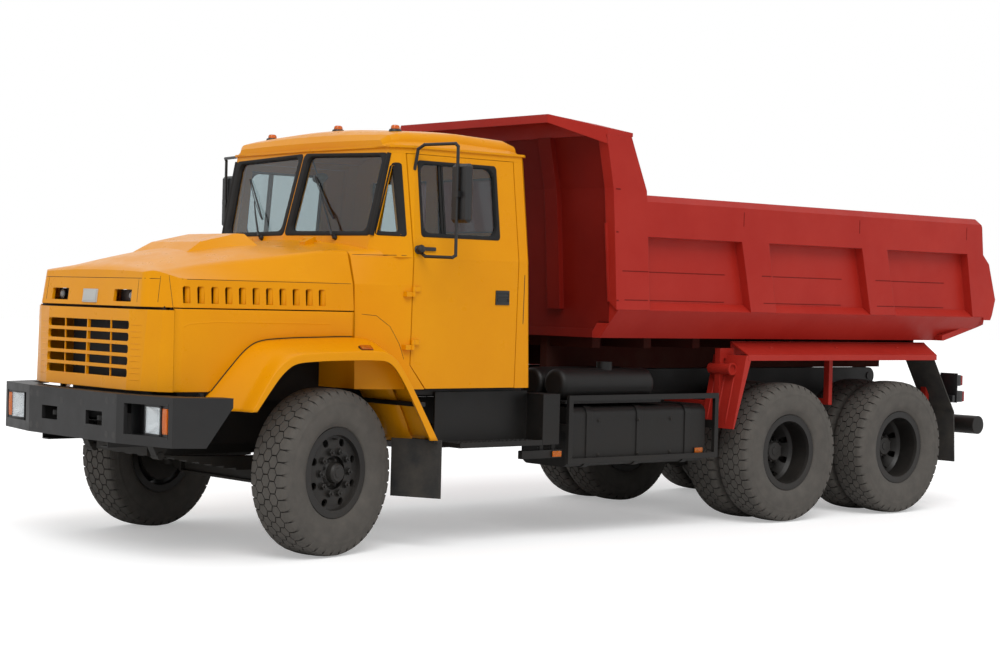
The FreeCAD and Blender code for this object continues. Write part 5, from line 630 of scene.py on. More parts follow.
# the frame's back, rim and bars: how far each comes forward, then its span across and up
LAMP_FRAME = (
    (4.052, (0.640, 1.064), (0.803, 1.022)), (4.120, (0.640, 0.646), (0.803, 1.022)),
    (4.108, (0.646, 1.060), (0.803, 0.812)), (4.108, (0.646, 1.060), (1.013, 1.022)),
    (4.117, (0.793, 0.801), (0.812, 1.013)), (4.112, (0.974, 0.984), (0.812, 1.013)),
    (4.098, (1.051, 1.059), (0.812, 1.013)), (4.117, (0.801, 0.974), (0.812, 0.829)),
    (4.117, (0.801, 0.974), (0.996, 1.013)), (4.102, (0.984, 1.051), (0.812, 0.831)),
    (4.102, (0.984, 1.051), (0.994, 1.013)))
BULB = [(0.012, 0.0), (0.012, 0.018), (0.008, 0.026), (0.0, 0.028)]
FLUTE_DEPTH = 0.0012


def smeared_gloss(name, colour, scale, detail, low, high, more):
    """A bright smooth finish that faint dust or fine scratches dull in places."""
    material, tree, place = new_material(name)
    smear = add_node(tree, "TexNoise", {"Vector": place, "Scale": scale, "Detail": detail})
    sheen = add_node(tree, "MapRange", {"Value": smear, "To Min": low, "To Max": high})
    skin = add_node(tree, "BsdfPrincipled", {"Base Color": colour, "Roughness": sheen, **more})
    add_node(tree, "OutputMaterial", {"Surface": skin})
    return material


def lens_plastic(name, colour, rough, clear):
    """Moulded lens: coloured clear plastic, lit through, with a soft gloss and fine scratches."""
    return smeared_gloss(name, colour, 60.0, 6.0, rough, rough + 0.12,
                         {"Transmission Weight": clear, "IOR": 1.49,
                          "Subsurface Weight": 0.0 if clear > 0.6 else 0.3})


def moulded_plastic(name, colour, roughness):
    """Moulded plastic: fine leather grain and an even soft gloss."""
    material, tree, place = new_material(name)
    grain = add_node(tree, "TexVoronoi", {"Vector": place, "Scale": 320.0})
    bump = add_node(tree, "Bump", {"Height": grain, "Strength": 0.2, "Distance": 0.0006})
    cloud = add_node(tree, "TexNoise", {"Vector": place, "Scale": 5.0, "Detail": 4.0})
    sheen = add_node(tree, "MapRange", {"Value": cloud, "To Min": roughness - 0.08,
                                        "To Max": roughness + 0.08})
    skin = add_node(tree, "BsdfPrincipled", {"Base Color": colour, "Roughness": sheen, "Normal": bump})
    add_node(tree, "OutputMaterial", {"Surface": skin})
    return material


clear_lens = lens_plastic("clear_fluted_lens", "F4F7F8", 0.06, 0.92)
amber_lens = lens_plastic("amber_indicator_lens", "E8740C", 0.14, 0.35)
red_lens = lens_plastic("red_tail_lens", "9C1512", 0.14, 0.35)
# vacuum plated bowl: bright aluminium with faint dust
reflector = smeared_gloss("plated_lamp_reflector", "E8EAEC", 90.0, 4.0, 0.08, 0.24, {"Metallic": 1.0})
black_plastic = moulded_plastic("moulded_black_plastic", "141415", 0.45)


def bowl(mesh, x, y0, y1, z0, z1, depth, steps=10):
    """A rectangular reflector bowl open to the front, curved to its back."""
    grid = []
    for i in range(steps + 1):
        row = []
        for k in range(steps + 1):
            u, v = 2 * i / steps - 1, 2 * k / steps - 1
            back = depth * (1 - max(abs(u), abs(v)) ** 2.4)
            y, z = (y0 + y1) / 2 + u * (y1 - y0) / 2, (z0 + z1) / 2 + v * (z1 - z0) / 2
            row.append(mesh.verts.new((x - back, y, z)))
        grid.append(row)
    stitch(mesh, grid)


def fluted_lens(mesh, x, y0, y1, z0, z1, flutes, bulge, thick, side):
    """A lens plate with upright flutes and a slight bulge, solid, looking along X."""
    across, up = flutes * 4, 10
    grids = []
    for layer in (0, 1):
        grid = []
        for i in range(across + 1):
            row = []
            for k in range(up + 1):
                u, v = i / across, k / up
                swell = bulge * (1 - (2 * u - 1) ** 4) * (1 - (2 * v - 1) ** 4)
                ripple = FLUTE_DEPTH * (0.5 - 0.5 * math.cos(2 * math.pi * u * flutes))
                px = x + (swell + ripple if layer else -thick + swell * 0.6)
                row.append(mesh.verts.new((px, side * (y0 + (y1 - y0) * u), z0 + (z1 - z0) * v)))
            grid.append(row)
        stitch(mesh, grid)
        grids.append(grid)
    back, front = grids
    rim = [(i, 0) for i in range(across)] + [(across, k) for k in range(up)]
    rim += [(i, up) for i in range(across, 0, -1)] + [(0, k) for k in range(up, 0, -1)]
    for (a, b), (c, d) in zip(rim, rim[1:] + rim[:1]):
        mesh.faces.new((back[a][b], back[c][d], front[c][d], front[a][b]))


y0, y1 = HEAD_LAMP_Y
y2, y3 = INDICATOR_Y
z0, z1 = HEAD_LAMP_Z
for side, word in SIDES:
    mesh = bmesh.new()
    bowl(mesh, LAMP_PLANE - 0.006, side * y0, side * y1, z0, z1, 0.052)
    lathe(mesh, BULB, facing((LAMP_PLANE - 0.045, side * (y0 + y1) / 2, (z0 + z1) / 2), FORWARD), 16)
    bright = piece("headlamp_reflector_" + word, mesh, reflector, "chassis")
    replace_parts(bright, "lamps")
    mesh = bmesh.new()
    fluted_lens(mesh, LAMP_PLANE + 0.006, y0, y1, z0, z1, 9, 0.006, 0.004, side)
    piece("headlamp_lens_" + word, mesh, clear_lens, "chassis")
    mesh = bmesh.new()
    fluted_lens(mesh, LAMP_PLANE - 0.004, y2 + 0.004, y3 - 0.004, z0 + 0.004, z1 - 0.004, 4, 0.005, 0.02,
                side)
    piece("front_indicator_" + word, mesh, amber_lens, "chassis")
    mesh = bmesh.new()
    for front, across, up in LAMP_FRAME:
        mirrored_block(mesh, side, (LAMP_BACK, front), across, up, 0.002)
    piece("headlamp_frame_" + word, mesh, black_plastic, "chassis")

# Badge plate on the hood's front: pale cast aluminium with a raised field, blank, held by four rivets.
# Its place is found on the pressed skin, so that it sits square to it.
RIVET = [(0.005, 0.0), (0.004, 0.003), (0.0, 0.004)]
hood_skin, _ = surface("hood")
nose_skin, _ = surface("nose_grille")
aluminium = satin_black_paint("cast_aluminium_plate", "B9B9B5", 0.0, 0.4, 1.0, 1.0)
mesh = bmesh.new()
plate = facing(*seat(hood_skin, (AHEAD, 0.0, 1.682), BACK))
solid_block(mesh, (-0.092, -0.045, -0.004), (0.092, 0.045, 0.008), 0.004, plate)
solid_block(mesh, (-0.083, -0.036, 0.007), (0.083, 0.036, 0.010), 0.002, plate)
for a in (-0.085, 0.085):
    for b in (-0.038, 0.038):
        lathe(mesh, RIVET, plate @ Matrix.Translation((a, b, 0.008)), 10)
piece("blank_badge_plate", mesh, aluminium, "hood")

# Marker lamps in the pockets of the hood's front strip: round clear glasses in black rubber holders,
# with a dark plate behind each pocket.
HOLDER = [(0.0, -0.012), (0.036, -0.012), (0.036, 0.004), (0.032, 0.007), (0.030, 0.004), (0.030, -0.004),
          (0.0, -0.004)]
GLASS = [(0.0296, -0.003), (0.0296, 0.003), (0.024, 0.009), (0.013, 0.013), (0.0, 0.014)]
holder = bmesh.new()
glasses = bmesh.new()
for y in (0.462, -0.445):
    place = facing((4.028, y, 1.689), FORWARD)
    lathe(holder, HOLDER, place, 28)
    lathe(glasses, GLASS, place, 28)
for side, word in SIDES:
    mirrored_block(holder, side, (4.006, 4.014), (0.302, 0.518), (1.652, 1.726), 0.001)
piece("strip_lamp_holders", holder, black_plastic, "hood")
grey_glass = lens_plastic("grey_lamp_glass", "D5D8D8", 0.1, 0.75)
piece("strip_lamp_glasses", glasses, grey_glass, "hood")

# Grille: upright strips of the same yellow sheet stand behind the five slots,
# and two rolled ribs run outboard of each slot.
SLOT_LOW, SLOT_PITCH, SLOTS = 1.165, 0.077, 5
SOFT_BEAD = ((-0.5, -0.001), (-0.25, 0.8), (0.0, 1.0), (0.25, 0.8), (0.5, -0.001))
yellow_trim = bmesh.new()
for y in (-0.30, 0.0, 0.30):
    spot, normal = seat(nose_skin, (AHEAD, y, SLOT_LOW - 0.014), BACK)
    solid_block(yellow_trim, (spot.x - 0.020, y - 0.004, 1.15), (spot.x - 0.010, y + 0.004, 1.545), 0.001)


def raised_line(mesh, tree, path, width, height, direction, section=SOFT_BEAD, ripple=0.0, tip=0.25, gap=9.0):
    """A bead laid on a surface along a path of points, seen along a direction.

    Its section lists shares of the width, each with a share of the height, or metres where it is sunk.
    The bead stops and starts again where two of its rows lie further apart than the gap.
    """
    rows = []
    last = len(path) - 1
    for i, start in enumerate(path):
        if tree.ray_cast(start, Vector(direction))[0] is None:
            continue
        spot, normal = seat(tree, start, direction)
        across = (path[min(i + 1, last)] - path[max(i - 1, 0)]).normalized().cross(normal).normalized()
        swell = height * (1 - ripple + ripple * math.sin(i * 2.1)) * (tip if i in (0, last) else 1.0)
        lifts = [(share, lift if lift < 0 else lift * swell) for share, lift in section]
        rows.append([mesh.verts.new(spot + across * width * share + normal * lift) for share, lift in lifts])
    for low, high in zip(rows, rows[1:]):
        if (low[0].co - high[0].co).length < gap:
            stitch(mesh, [low, high])


def spread(points, step):
    """More points along straight runs, about a step apart."""
    made = []
    for a, b in zip(points, points[1:]):
        a, b = Vector(a), Vector(b)
        count = max(1, int((b - a).length / step))
        made += [a.lerp(b, k / count) for k in range(count)]
    return made + [Vector(points[-1])]


for row in range(SLOTS):
    for side, word in SIDES:
        for dz in (-0.012, 0.030):
            z = SLOT_LOW + SLOT_PITCH * row + dz
            path = spread([(AHEAD, side * 0.548, z), (AHEAD, side * 0.655, z)], 0.02)
            raised_line(yellow_trim, nose_skin, path, 0.008, 0.0025, BACK)
piece("grille_strips_and_ribs", yellow_trim, cab_yellow, "chassis")

# Louvres in the hood's sides: the sheet is cut along the front of each opening and pressed in behind the cut,
# to draw air through. They are pressed in the yellow sheet itself.
HOOD_X = 2.9325
LOUVRES, LOUVRE_FIRST, LOUVRE_PITCH = 11, 0.945, 0.1005
LOUVRE_Z = (1.6505, 1.7565)
LOUVRE_STEPS = 6
# the pressing's section: place along the truck, and depth below the skin
LOUVRE_LINE = ((-0.0252, 0.0008), (-0.021, 0.0018), (-0.014, 0.0065), (-0.008, 0.0135), (-0.003, 0.0215))
louvres = bmesh.new()
for side, word in SIDES:
    for i in range(LOUVRES):
        x = HOOD_X + LOUVRE_FIRST - LOUVRE_PITCH * i
        edge, normal = seat(hood_skin, (x + 0.034, BESIDE * side, 1.70), (0, -side, 0))
        rows = []
        for k in range(LOUVRE_STEPS + 1):
            z = LOUVRE_Z[0] + (LOUVRE_Z[1] - LOUVRE_Z[0]) * k / LOUVRE_STEPS
            deeper = 0.003 * (2 * k / LOUVRE_STEPS - 1) ** 4
            rows.append([louvres.verts.new((x + a, edge.y - side * (depth + deeper), z))
                         for a, depth in LOUVRE_LINE])
        stitch(louvres, rows)
piece("louvre_pressings", louvres, cab_yellow, "hood")

# Front fenders: one pressed sheet each side. The nose's side panel runs down to a flared arch with a turned
# lip, a rubber piping fills the joint between them, and steel bars hold the sheet to the frame.
# Their lines in mm: distance ahead of the front axle, and height.
FENDER_SEAM = [(876, 975), (752, 1114), (642, 1237), (530, 1353), (439, 1407), (299, 1428), (0, 1440),
               (-345, 1443), (-440, 1415), (-530, 1335), (-640, 1160), (-760, 960), (-857, 755)]
FENDER_CREASE = [(692, 975), (614, 1095), (540, 1205), (452, 1318), (390, 1362), (290, 1385), (0, 1400),
                 (-340, 1403), (-424, 1380), (-516, 1303), (-624, 1140), (-748, 940), (-851, 755)]
FENDER_EDGE = [(676, 975), (592, 1105), (512, 1220), (428, 1295), (360, 1326), (260, 1342), (0, 1354),
               (-340, 1357), (-404, 1341), (-484, 1284), (-600, 1130), (-730, 925), (-837, 755)]
FENDER_LIP = [(640, 975), (556, 1085), (468, 1192), (392, 1256), (330, 1280), (240, 1290), (0, 1299),
              (-330, 1298), (-400, 1283), (-462, 1237), (-560, 1104), (-690, 890), (-770, 755)]
FENDER_PLAN = [(3.9625, 0.880), (3.7325, 0.915), (3.1825, 0.945), (2.6225, 0.968)]
FENDER_HALF = 1.2495
PANEL_TOP = 1.613
PANEL_LOW = 1.087
CAB_FRONT_X = HOOD_X - 0.31
CAB_SIDE_Y = 0.935
LINING_FROM = 34              # the point of the seam behind the wheel where the lining starts
FENDER_BARS = (((3.7475, 3.7975), (0.435, 0.960), (0.975, 1.001)),
               ((3.7525, 3.7825), (0.880, 0.912), (0.976, 1.080)),
               ((2.2045, 2.2775), (0.435, 1.235), (0.985, 1.015)))
PRESSED_LINE = [(0.965, 1.500), (0.945, 1.516), (0.905, 1.522), (0.748, 1.534), (0.30, 1.534),
                (-0.123, 1.531)]
PRESSED_SECTION = ((-0.008, -0.001), (-0.003, 0.0016), (0.0, 0.002), (0.003, 0.0016), (0.008, -0.001))


def smooth_line(points, steps=6):
    """A smooth line through points of an outline in mm, from the truck's front backward, in metres."""
    pts = [Vector((HOOD_X + a / 1000.0, b / 1000.0)) for a, b in points]
    at = [0.0]
    for a, b in zip(pts, pts[1:]):
        at.append(at[-1] + (b - a).length)
    slopes = []
    for i in range(len(pts)):
        lo, hi = max(i - 1, 0), min(i + 1, len(pts) - 1)
        slopes.append((pts[hi] - pts[lo]) / (at[hi] - at[lo]))
    line = []
    for i in range(len(pts) - 1):
        span = at[i + 1] - at[i]
        for k in range(steps):
            t = k / steps
            line.append(pts[i] * (2 * t ** 3 - 3 * t ** 2 + 1) + slopes[i] * span * (t ** 3 - 2 * t ** 2 + t)
                        + pts[i + 1] * (3 * t ** 2 - 2 * t ** 3) + slopes[i + 1] * span * (t ** 3 - t ** 2))
    return line + [pts[-1]]


def plan_y(x):
    """The side panel's distance from the middle at a place along the truck."""
    for (a, b), (c, d) in zip(FENDER_PLAN, FENDER_PLAN[1:]):
        if x >= c:
            return b + (d - b) * (min(x, a) - a) / (c - a)
    return FENDER_PLAN[-1][1]


cab_side_skin, _ = surface("cab_front", "door_left", "door_right")


def root_y(x, z):
    """Where the arch meets the body: the side panel in front, the cab's side behind it."""
    if x > CAB_FRONT_X:
        return plan_y(x)
    hit = cab_side_skin.ray_cast(Vector((x, BESIDE, z)), Vector((0, -1, 0)))[0]
    return max(CAB_SIDE_Y, hit.y + 0.004) if hit is not None else CAB_SIDE_Y


def skin_rows(mesh, rows, side):
    """A sheet through rows of points, mirrored for the right side."""
    stitch(mesh, [[mesh.verts.new((x, side * y, z)) for x, y, z in row] for row in rows])


def thicken(thing, thickness):
    """Gives a sheet its gauge, grown inward from its outer face."""
    solid = thing.modifiers.new("gauge", "SOLIDIFY")
    solid.thickness = thickness
    solid.offset = -1.0
    solid.use_quality_normals = True
    return thing


def dusty_rubber(name, colour, dust):
    """Moulded rubber sheet: matte, grey with dust in soft clouds."""
    material, tree, place = new_material(name)
    cloud = add_node(tree, "TexNoise", {"Vector": place, "Scale": 6.0, "Detail": 8.0, "Roughness": 0.6})
    tone = add_node(tree, "MapRange", {"Value": cloud, "From Min": 0.3, "From Max": 0.75, "To Max": dust})
    colours = add_node(tree, "Mix", {"Factor": tone, 6: colour, 7: ROAD_DUST}, data_type="RGBA")
    grain = add_node(tree, "TexNoise", {"Vector": place, "Scale": 260.0, "Detail": 2.0})
    bump = add_node(tree, "Bump", {"Height": grain, "Strength": 0.3, "Distance": 0.001})
    skin = add_node(tree, "BsdfPrincipled", {"Base Color": colours, "Roughness": 0.78, "Normal": bump,
                                             "Specular IOR Level": 0.35})
    add_node(tree, "OutputMaterial", {"Surface": skin})
    return material


def arch_row(s, c, e, p):
    """One section of the arch: from the seam out to the crease, over to the edge and down to the lip."""
    start = root_y(s.x, s.y)
    mid_y = max(1.120, start + 0.006)
    row = [(s.x, start - 0.020, s.y - 0.003), (s.x, start - 0.004, s.y - 0.002)]
    for share in (0.03, 0.25, 0.5, 0.75, 0.95):
        a = s.lerp(c, share)
        row.append((a.x, start + (mid_y - start) * share, a.y))
    for share in (0.03, 0.3, 0.6, 0.92):
        a = c.lerp(e, share)
        row.append((a.x, mid_y + (FENDER_HALF - mid_y) * share, a.y))
    for share, inset in ((0.06, 0.001), (0.14, 0.0), (1.0, 0.0)):
        a = e.lerp(p, share)
        row.append((a.x, FENDER_HALF - inset, a.y))
    return row + [(p.x, FENDER_HALF - 0.018, p.y + 0.001)]


def panel_row(x):
    """One upright section of the side panel, from the seam under it to the turned edge on top."""
    low = PANEL_LOW
    for a, b in zip(seam, seam[1:]):
        if b.x <= x <= a.x:
            low = max(PANEL_LOW, a.y + (b.y - a.y) * (a.x - x) / max(a.x - b.x, 1e-6) + 0.005)
    y = plan_y(x)
    row = [(x, y - 0.016, low + 0.001), (x, y - 0.001, low)]
    row += [(x, y, low + (PANEL_TOP - low) * share) for share in (0.02, 0.3, 0.6, 0.95)]
    return row + [(x, y - 0.003, PANEL_TOP), (x, y - 0.020, PANEL_TOP + 0.001)]


seal_rubber = dusty_rubber("black_window_rubber", "0E0E0F", 0.10)
seam, crease = smooth_line(FENDER_SEAM), smooth_line(FENDER_CREASE)
edge, lip = smooth_line(FENDER_EDGE), smooth_line(FENDER_LIP)
lining = [[(s.x + 0.03, 0.60, s.y - 0.03), (s.x + 0.028, 0.78, s.y - 0.030), (s.x + 0.012, 0.95, s.y - 0.014)]
          for s in seam[LINING_FROM:]]
columns = [3.9625, 3.90, 3.84, 3.80] + [s.x for s in seam if 2.625 < s.x < 3.79] + [2.6225]
for side, word in SIDES:
    mesh = bmesh.new()
    skin_rows(mesh, [arch_row(*points) for points in zip(seam, crease, edge, lip)], side)
    skin_rows(mesh, lining, side)
    arch = piece("fender_arch_" + word, mesh, cab_yellow, "chassis", 50.0)
    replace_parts(thicken(arch, 0.004), "front_fenders")
    mesh = bmesh.new()
    skin_rows(mesh, [panel_row(x) for x in columns], side)
    panel = piece("fender_panel_" + word, mesh, cab_yellow, "chassis", 40.0)
    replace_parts(thicken(panel, 0.003), "front_fenders")
    mesh = bmesh.new()
    for x, y, z in FENDER_BARS:
        mirrored_block(mesh, side, x, y, z, 0.004)
    bars = piece("fender_bars_" + word, mesh, chassis_black, "chassis")
    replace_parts(bars, "front_fenders")
    mesh = bmesh.new()
    root = [s for s in seam if s.y > 1.085 and s.x > 2.60]
    tube(mesh, [(s.x, side * (root_y(s.x, s.y) + 0.0005), s.y + 0.002) for s in root], 0.0032, 6)
    piece("fender_piping_" + word, mesh, seal_rubber, "chassis")
# a low pressed line runs along each side panel under the hood
pressed = bmesh.new()
for side, word in SIDES:
    skin_rows(pressed, [[(p.x, plan_y(p.x) + lift, p.z + dz) for dz, lift in PRESSED_SECTION]
                        for p in spread([(HOOD_X + a, 0.0, b) for a, b in PRESSED_LINE], 0.05)], side)
piece("fender_pressed_lines", pressed, cab_yellow, "chassis")

# Joints between the sheets: thin black lines in the black rubber's material along the hood's lid, its corner
# strips, the cowl and the cab's corners.
# They are painted shadow for the shade in the gaps between the sheets, laid on the skin a millimetre high.
LID_Z = 1.799
LID_JOINT = LID_Z + 0.003
# on the cab's side, width and line: along the fender's top, the cowl's edge and the rear corner
CAB_JOINTS = ((0.0045, [(2.5625, 1.600), (2.47, 1.592), (2.38, 1.520), (2.318, 1.404), (2.285, 1.30)]),
              (0.006, [(2.592, 2.000), (2.29, 2.004)]), (0.009, [(1.235, 1.55), (1.235, 1.90)]))
cab_shell, _ = surface("cab_front", "cab_back", "cab_roof")
lid_shadow_lines = bmesh.new()
cab_shadow_lines = bmesh.new()


def joint(mesh, skin, path, direction, width=0.0045):
    raised_line(mesh, skin, spread(path, 0.03), width, 0.0009, direction)


for side, word in SIDES:
    for line in ([(3.93, LID_JOINT), (2.635, LID_JOINT)], [(3.9565, 1.622), (3.9565, 1.826)]):
        joint(lid_shadow_lines, hood_skin, [(x, BESIDE * side, z) for x, z in line], (0, -side, 0))
    for line in ([(0.600, 1.618), (0.590, LID_Z)], [(0.752, 1.618), (0.742, LID_Z + 0.02)]):
        joint(lid_shadow_lines, hood_skin, [(AHEAD, side * y, z) for y, z in line], BACK)
    for width, line in CAB_JOINTS:
        joint(cab_shadow_lines, cab_shell, [(x, BESIDE * side, z) for x, z in line], (0, -side, 0), width)
joint(lid_shadow_lines, hood_skin, [(AHEAD, -0.742, LID_JOINT), (AHEAD, 0.742, LID_JOINT)], BACK)
piece("hood_lid_painted_shadow_lines", lid_shadow_lines, seal_rubber, "hood")
piece("cab_joint_painted_shadow_lines", cab_shadow_lines, seal_rubber, "chassis")

# Sponge rubber strips close the gap under the hood. Rubber aprons hang beside the engine and under the nose
# against splash, and folded steel channels close the gap under the doors.
strips = bmesh.new()
for side, word in SIDES:
    for ends in zip(FENDER_PLAN, FENDER_PLAN[1:]):
        rows = []
        for x, y in ends:
            inner, outer = side * (y - 0.062), side * (y - 0.046)
            section = ((inner, 1.56), (outer, 1.56), (outer, 1.632), (inner, 1.632))
            rows.append([strips.verts.new((x, a, b)) for a, b in section])
        stitch(strips, rows, ring=True)
        for row in rows:
            strips.faces.new(row)
solid_block(strips, (3.975, -0.80, 1.565), (3.990, 0.80, 1.628), 0.004)
piece("hood_sponge_strips", strips, seal_rubber, "chassis")
aprons = bmesh.new()
sills = bmesh.new()
for side, word in SIDES:
    mirrored_block(aprons, side, (2.420, 3.740), (0.556, 0.560), (1.000, 1.560), 0.001)
    mirrored_block(sills, side, (1.115, 2.235), (0.960, 0.976), (1.050, 1.0955), 0.003)
solid_block(aprons, (4.020, -0.80, 0.930), (4.026, 0.80, 1.045), 0.001)
piece("splash_aprons", aprons, seal_rubber, "chassis")
piece("cab_sill_channels", sills, chassis_black, "chassis")


# Window rubbers: extruded black seals that clip over the panel's edge and grip the glass 20 mm below the
# skin. The windscreen's halves meet in a rubber strip, and a quarter pane stands round each corner.
GLASS_SUNK = 0.020
# the rubber's section: share of its width from the panel to the glass, and height over the sheet
SEAL_SECTION = ((0.0, -0.001), (0.08, 0.0042), (0.25, 0.006), (0.62, 0.0054), (0.85, 0.0012),
                (1.0, 0.0015 - GLASS_SUNK), (1.0, -0.030), (0.6, -0.030))
WINDSCREEN = ([(0.003, 2.136), (0.908, 2.132), (0.928, 2.704), (0.003, 2.727)],
              [(0.060, 2.168), (0.842, 2.164), (0.868, 2.676), (0.060, 2.697)], 0.035, 0.05)
QUARTER_PANE = ([(-0.492, 2.136), (-0.655, 2.130), (-0.655, 2.636), (-0.608, 2.636)],
                [(-0.524, 2.166), (-0.622, 2.162), (-0.624, 2.590), (-0.616, 2.592)], 0.02, 0.02)
REAR_PANE = ([(0.046, 2.184), (0.776, 2.184), (0.776, 2.616), (0.046, 2.616)],
             [(0.076, 2.214), (0.744, 2.214), (0.744, 2.586), (0.076, 2.586)], 0.02, 0.05)
DOOR_WINDOW = ([(-0.762, 2.133), (-1.473, 2.133), (-1.473, 2.659), (-0.762, 2.659)],
               [(-0.790, 2.162), (-1.444, 2.162), (-1.444, 2.630), (-0.790, 2.630)], 0.025, 0.07)
CORNER_POST = ((2.452, 0.916, 2.136), (2.392, 0.926, 2.418), (2.331, 0.934, 2.700))
WINDOW_BAR = ((-0.008, -0.001), (-0.008, 0.009), (0.008, 0.009), (0.008, -0.001))


def rounded(points, radius, corner_steps=6, edge_steps=8):
    """A closed outline with rounded corners and a fixed count of points."""
    arcs = []
    for i, corner in enumerate(points):
        a, b, c = Vector(points[i - 1]), Vector(corner), Vector(points[(i + 1) % len(points)])
        u, v = (a - b).normalized(), (c - b).normalized()
        half = u.angle(v) / 2
        cut = min(radius / math.tan(half), (a - b).length * 0.45, (c - b).length * 0.45)
        reach = cut * math.tan(half)
        centre = b + (u + v).normalized() * (cut / math.cos(half))
        start, end = b + u * cut, b + v * cut
        arcs.append([centre + (start.lerp(end, k / corner_steps) - centre).normalized() * reach
                     for k in range(corner_steps + 1)])
    outline = []
    for i, arc in enumerate(arcs):
        after = arcs[(i + 1) % len(arcs)][0]
        outline += arc + [arc[-1].lerp(after, k / edge_steps) for k in range(1, edge_steps)]
    return outline


shell_skin, shell_counts = surface("cab_front", "cab_roof", "cab_back", "door_left", "door_right",
                                   "cab_glass", "door_glass_left", "door_glass_right")
PANEL_FACES = shell_counts[4]


def window_seal(mesh, place, look, outer, inner, outer_radius, inner_radius):
    """A rubber section between an outer outline on the panel and an inner outline on the glass."""
    rows = []
    for a, b in zip(rounded(outer, outer_radius), rounded(inner, inner_radius)):
        row = []
        for share, lift in SEAL_SECTION:
            hit, normal, face, _ = shell_skin.ray_cast(Vector(place(a.lerp(b, share))), Vector(look))
            if normal.dot(Vector(look)) > 0:
                normal = -normal
            if face >= PANEL_FACES:
                hit = hit + normal * GLASS_SUNK
            row.append(mesh.verts.new(hit + normal * lift))
        rows.append(row)
    stitch(mesh, rows, ring=True, loop=True)


seals = bmesh.new()
for side, word in SIDES:
    window_seal(seals, lambda p: (AHEAD, side * p[0], p[1]), BACK, *WINDSCREEN)
    window_seal(seals, lambda p: (HOOD_X + p[0], BESIDE * side, p[1]), (0, -side, 0), *QUARTER_PANE)
    window_seal(seals, lambda p: (0.5, side * p[0], p[1]), FORWARD, *REAR_PANE)
    # the corner post behind the windscreen wears a rubber strip
    tube(seals, [(x, side * y, z) for x, y, z in CORNER_POST], 0.016, 10)
piece("window_rubbers", seals, seal_rubber, "chassis")
for side, word in SIDES:
    mesh = bmesh.new()
    window_seal(mesh, lambda p: (HOOD_X + p[0], BESIDE * side, p[1]), (0, -side, 0), *DOOR_WINDOW)
    # two upright bars part the fixed pane from the winding one
    for x in (-0.985, -0.962):
        ends = [seat(shell_skin, (HOOD_X + x, BESIDE * side, z), (0, -side, 0))[0] for z in (2.158, 2.634)]
        rows = [[mesh.verts.new(end + Vector((a, side * b, 0))) for a, b in WINDOW_BAR] for end in ends]
        stitch(mesh, rows, ring=True)
    piece("door_window_rubber_" + word, mesh, seal_rubber, "door_" + word)

# Wipers: sprung arms of black painted strip on splined spindles, each with a rubber blade along the glass.
# Both are parked low on the panes.
WIPER_FOOT_Z = 2.118
SPINDLE = [(0.017, -0.01), (0.017, 0.018), (0.012, 0.026), (0.0, 0.028)]
BLADE_STEPS = 10


def on_windscreen(y, z, lift):
    """A point over the glass or the cowl, seen from ahead."""
    spot, normal = seat(shell_skin, (AHEAD, y, z), BACK)
    return spot + normal * lift


wipers = bmesh.new()
for y, tip_y, tip_z in ((0.56, 0.27, 2.455), (-0.30, -0.60, 2.46)):
    foot = on_windscreen(y, WIPER_FOOT_Z, 0.0)
    lathe(wipers, SPINDLE, facing(foot, (0.9, 0, 0.44)), 16)
    knee = on_windscreen(y + (tip_y - y) * 0.45, WIPER_FOOT_Z + (tip_z - WIPER_FOOT_Z) * 0.50, 0.050)
    tip = on_windscreen(tip_y + 0.05, tip_z - 0.07, 0.018)
    arm = [foot + Vector((0.02, 0, 0.010)), foot + Vector((0.035, 0.0, 0.02)), knee, tip]
    tube(wipers, arm, [0.010, 0.009, 0.006, 0.004], 8)
    along = [0.30 * k / BLADE_STEPS for k in range(BLADE_STEPS + 1)]
    blade = [on_windscreen(tip_y - 0.10 + a, tip_z + 0.10 - a, 0.004) for a in along]
    tube(wipers, blade, 0.006, 8)
    rail = [p + Vector((0.008 + 0.012 * math.sin(math.pi * k / BLADE_STEPS), 0, 0.004))
            for k, p in enumerate(blade)]
    tube(wipers, rail, 0.003, 6)
piece("windscreen_wipers", wipers, black_plastic, "chassis")

# Door handles: a black moulded flap in a recess, with a push button, screwed to the door from inside.
# The mirror's arm ends in a ball clamp on the door's front edge.
PUSH_BUTTON = [(0.009, 0.0), (0.009, 0.010), (0.007, 0.012), (0.0, 0.012)]
BALL_CLAMP = [(0.030, -0.002), (0.030, 0.006), (0.024, 0.012), (0.026, 0.020), (0.030, 0.030), (0.030, 0.042),
              (0.024, 0.052), (0.012, 0.057), (0.0, 0.058)]
# the handle's frame, bar, back and flap: spans behind the front axle, up, and out of the door's skin
HANDLE_PARTS = (
    ((1.556, 1.430), (1.682, 1.703), (-0.004, 0.005), 0.002),
    ((1.556, 1.430), (1.762, 1.783), (-0.004, 0.005), 0.002),
    ((1.556, 1.546), (1.703, 1.762), (-0.004, 0.005), 0.002),
    ((1.440, 1.430), (1.703, 1.762), (-0.004, 0.005), 0.002),
    ((1.548, 1.438), (1.725, 1.733), (-0.004, 0.005), 0.002),
    ((1.552, 1.434), (1.690, 1.775), (-0.004, 0.001), 0.001),
    ((1.544, 1.442), (1.738, 1.757), (-0.002, 0.0045), 0.002))


def on_door(behind, z):
    """The door's skin, seen from beside it, at a distance behind the front axle."""
    return seat(shell_skin, (HOOD_X - behind, BESIDE * side, z), (0, -side, 0))


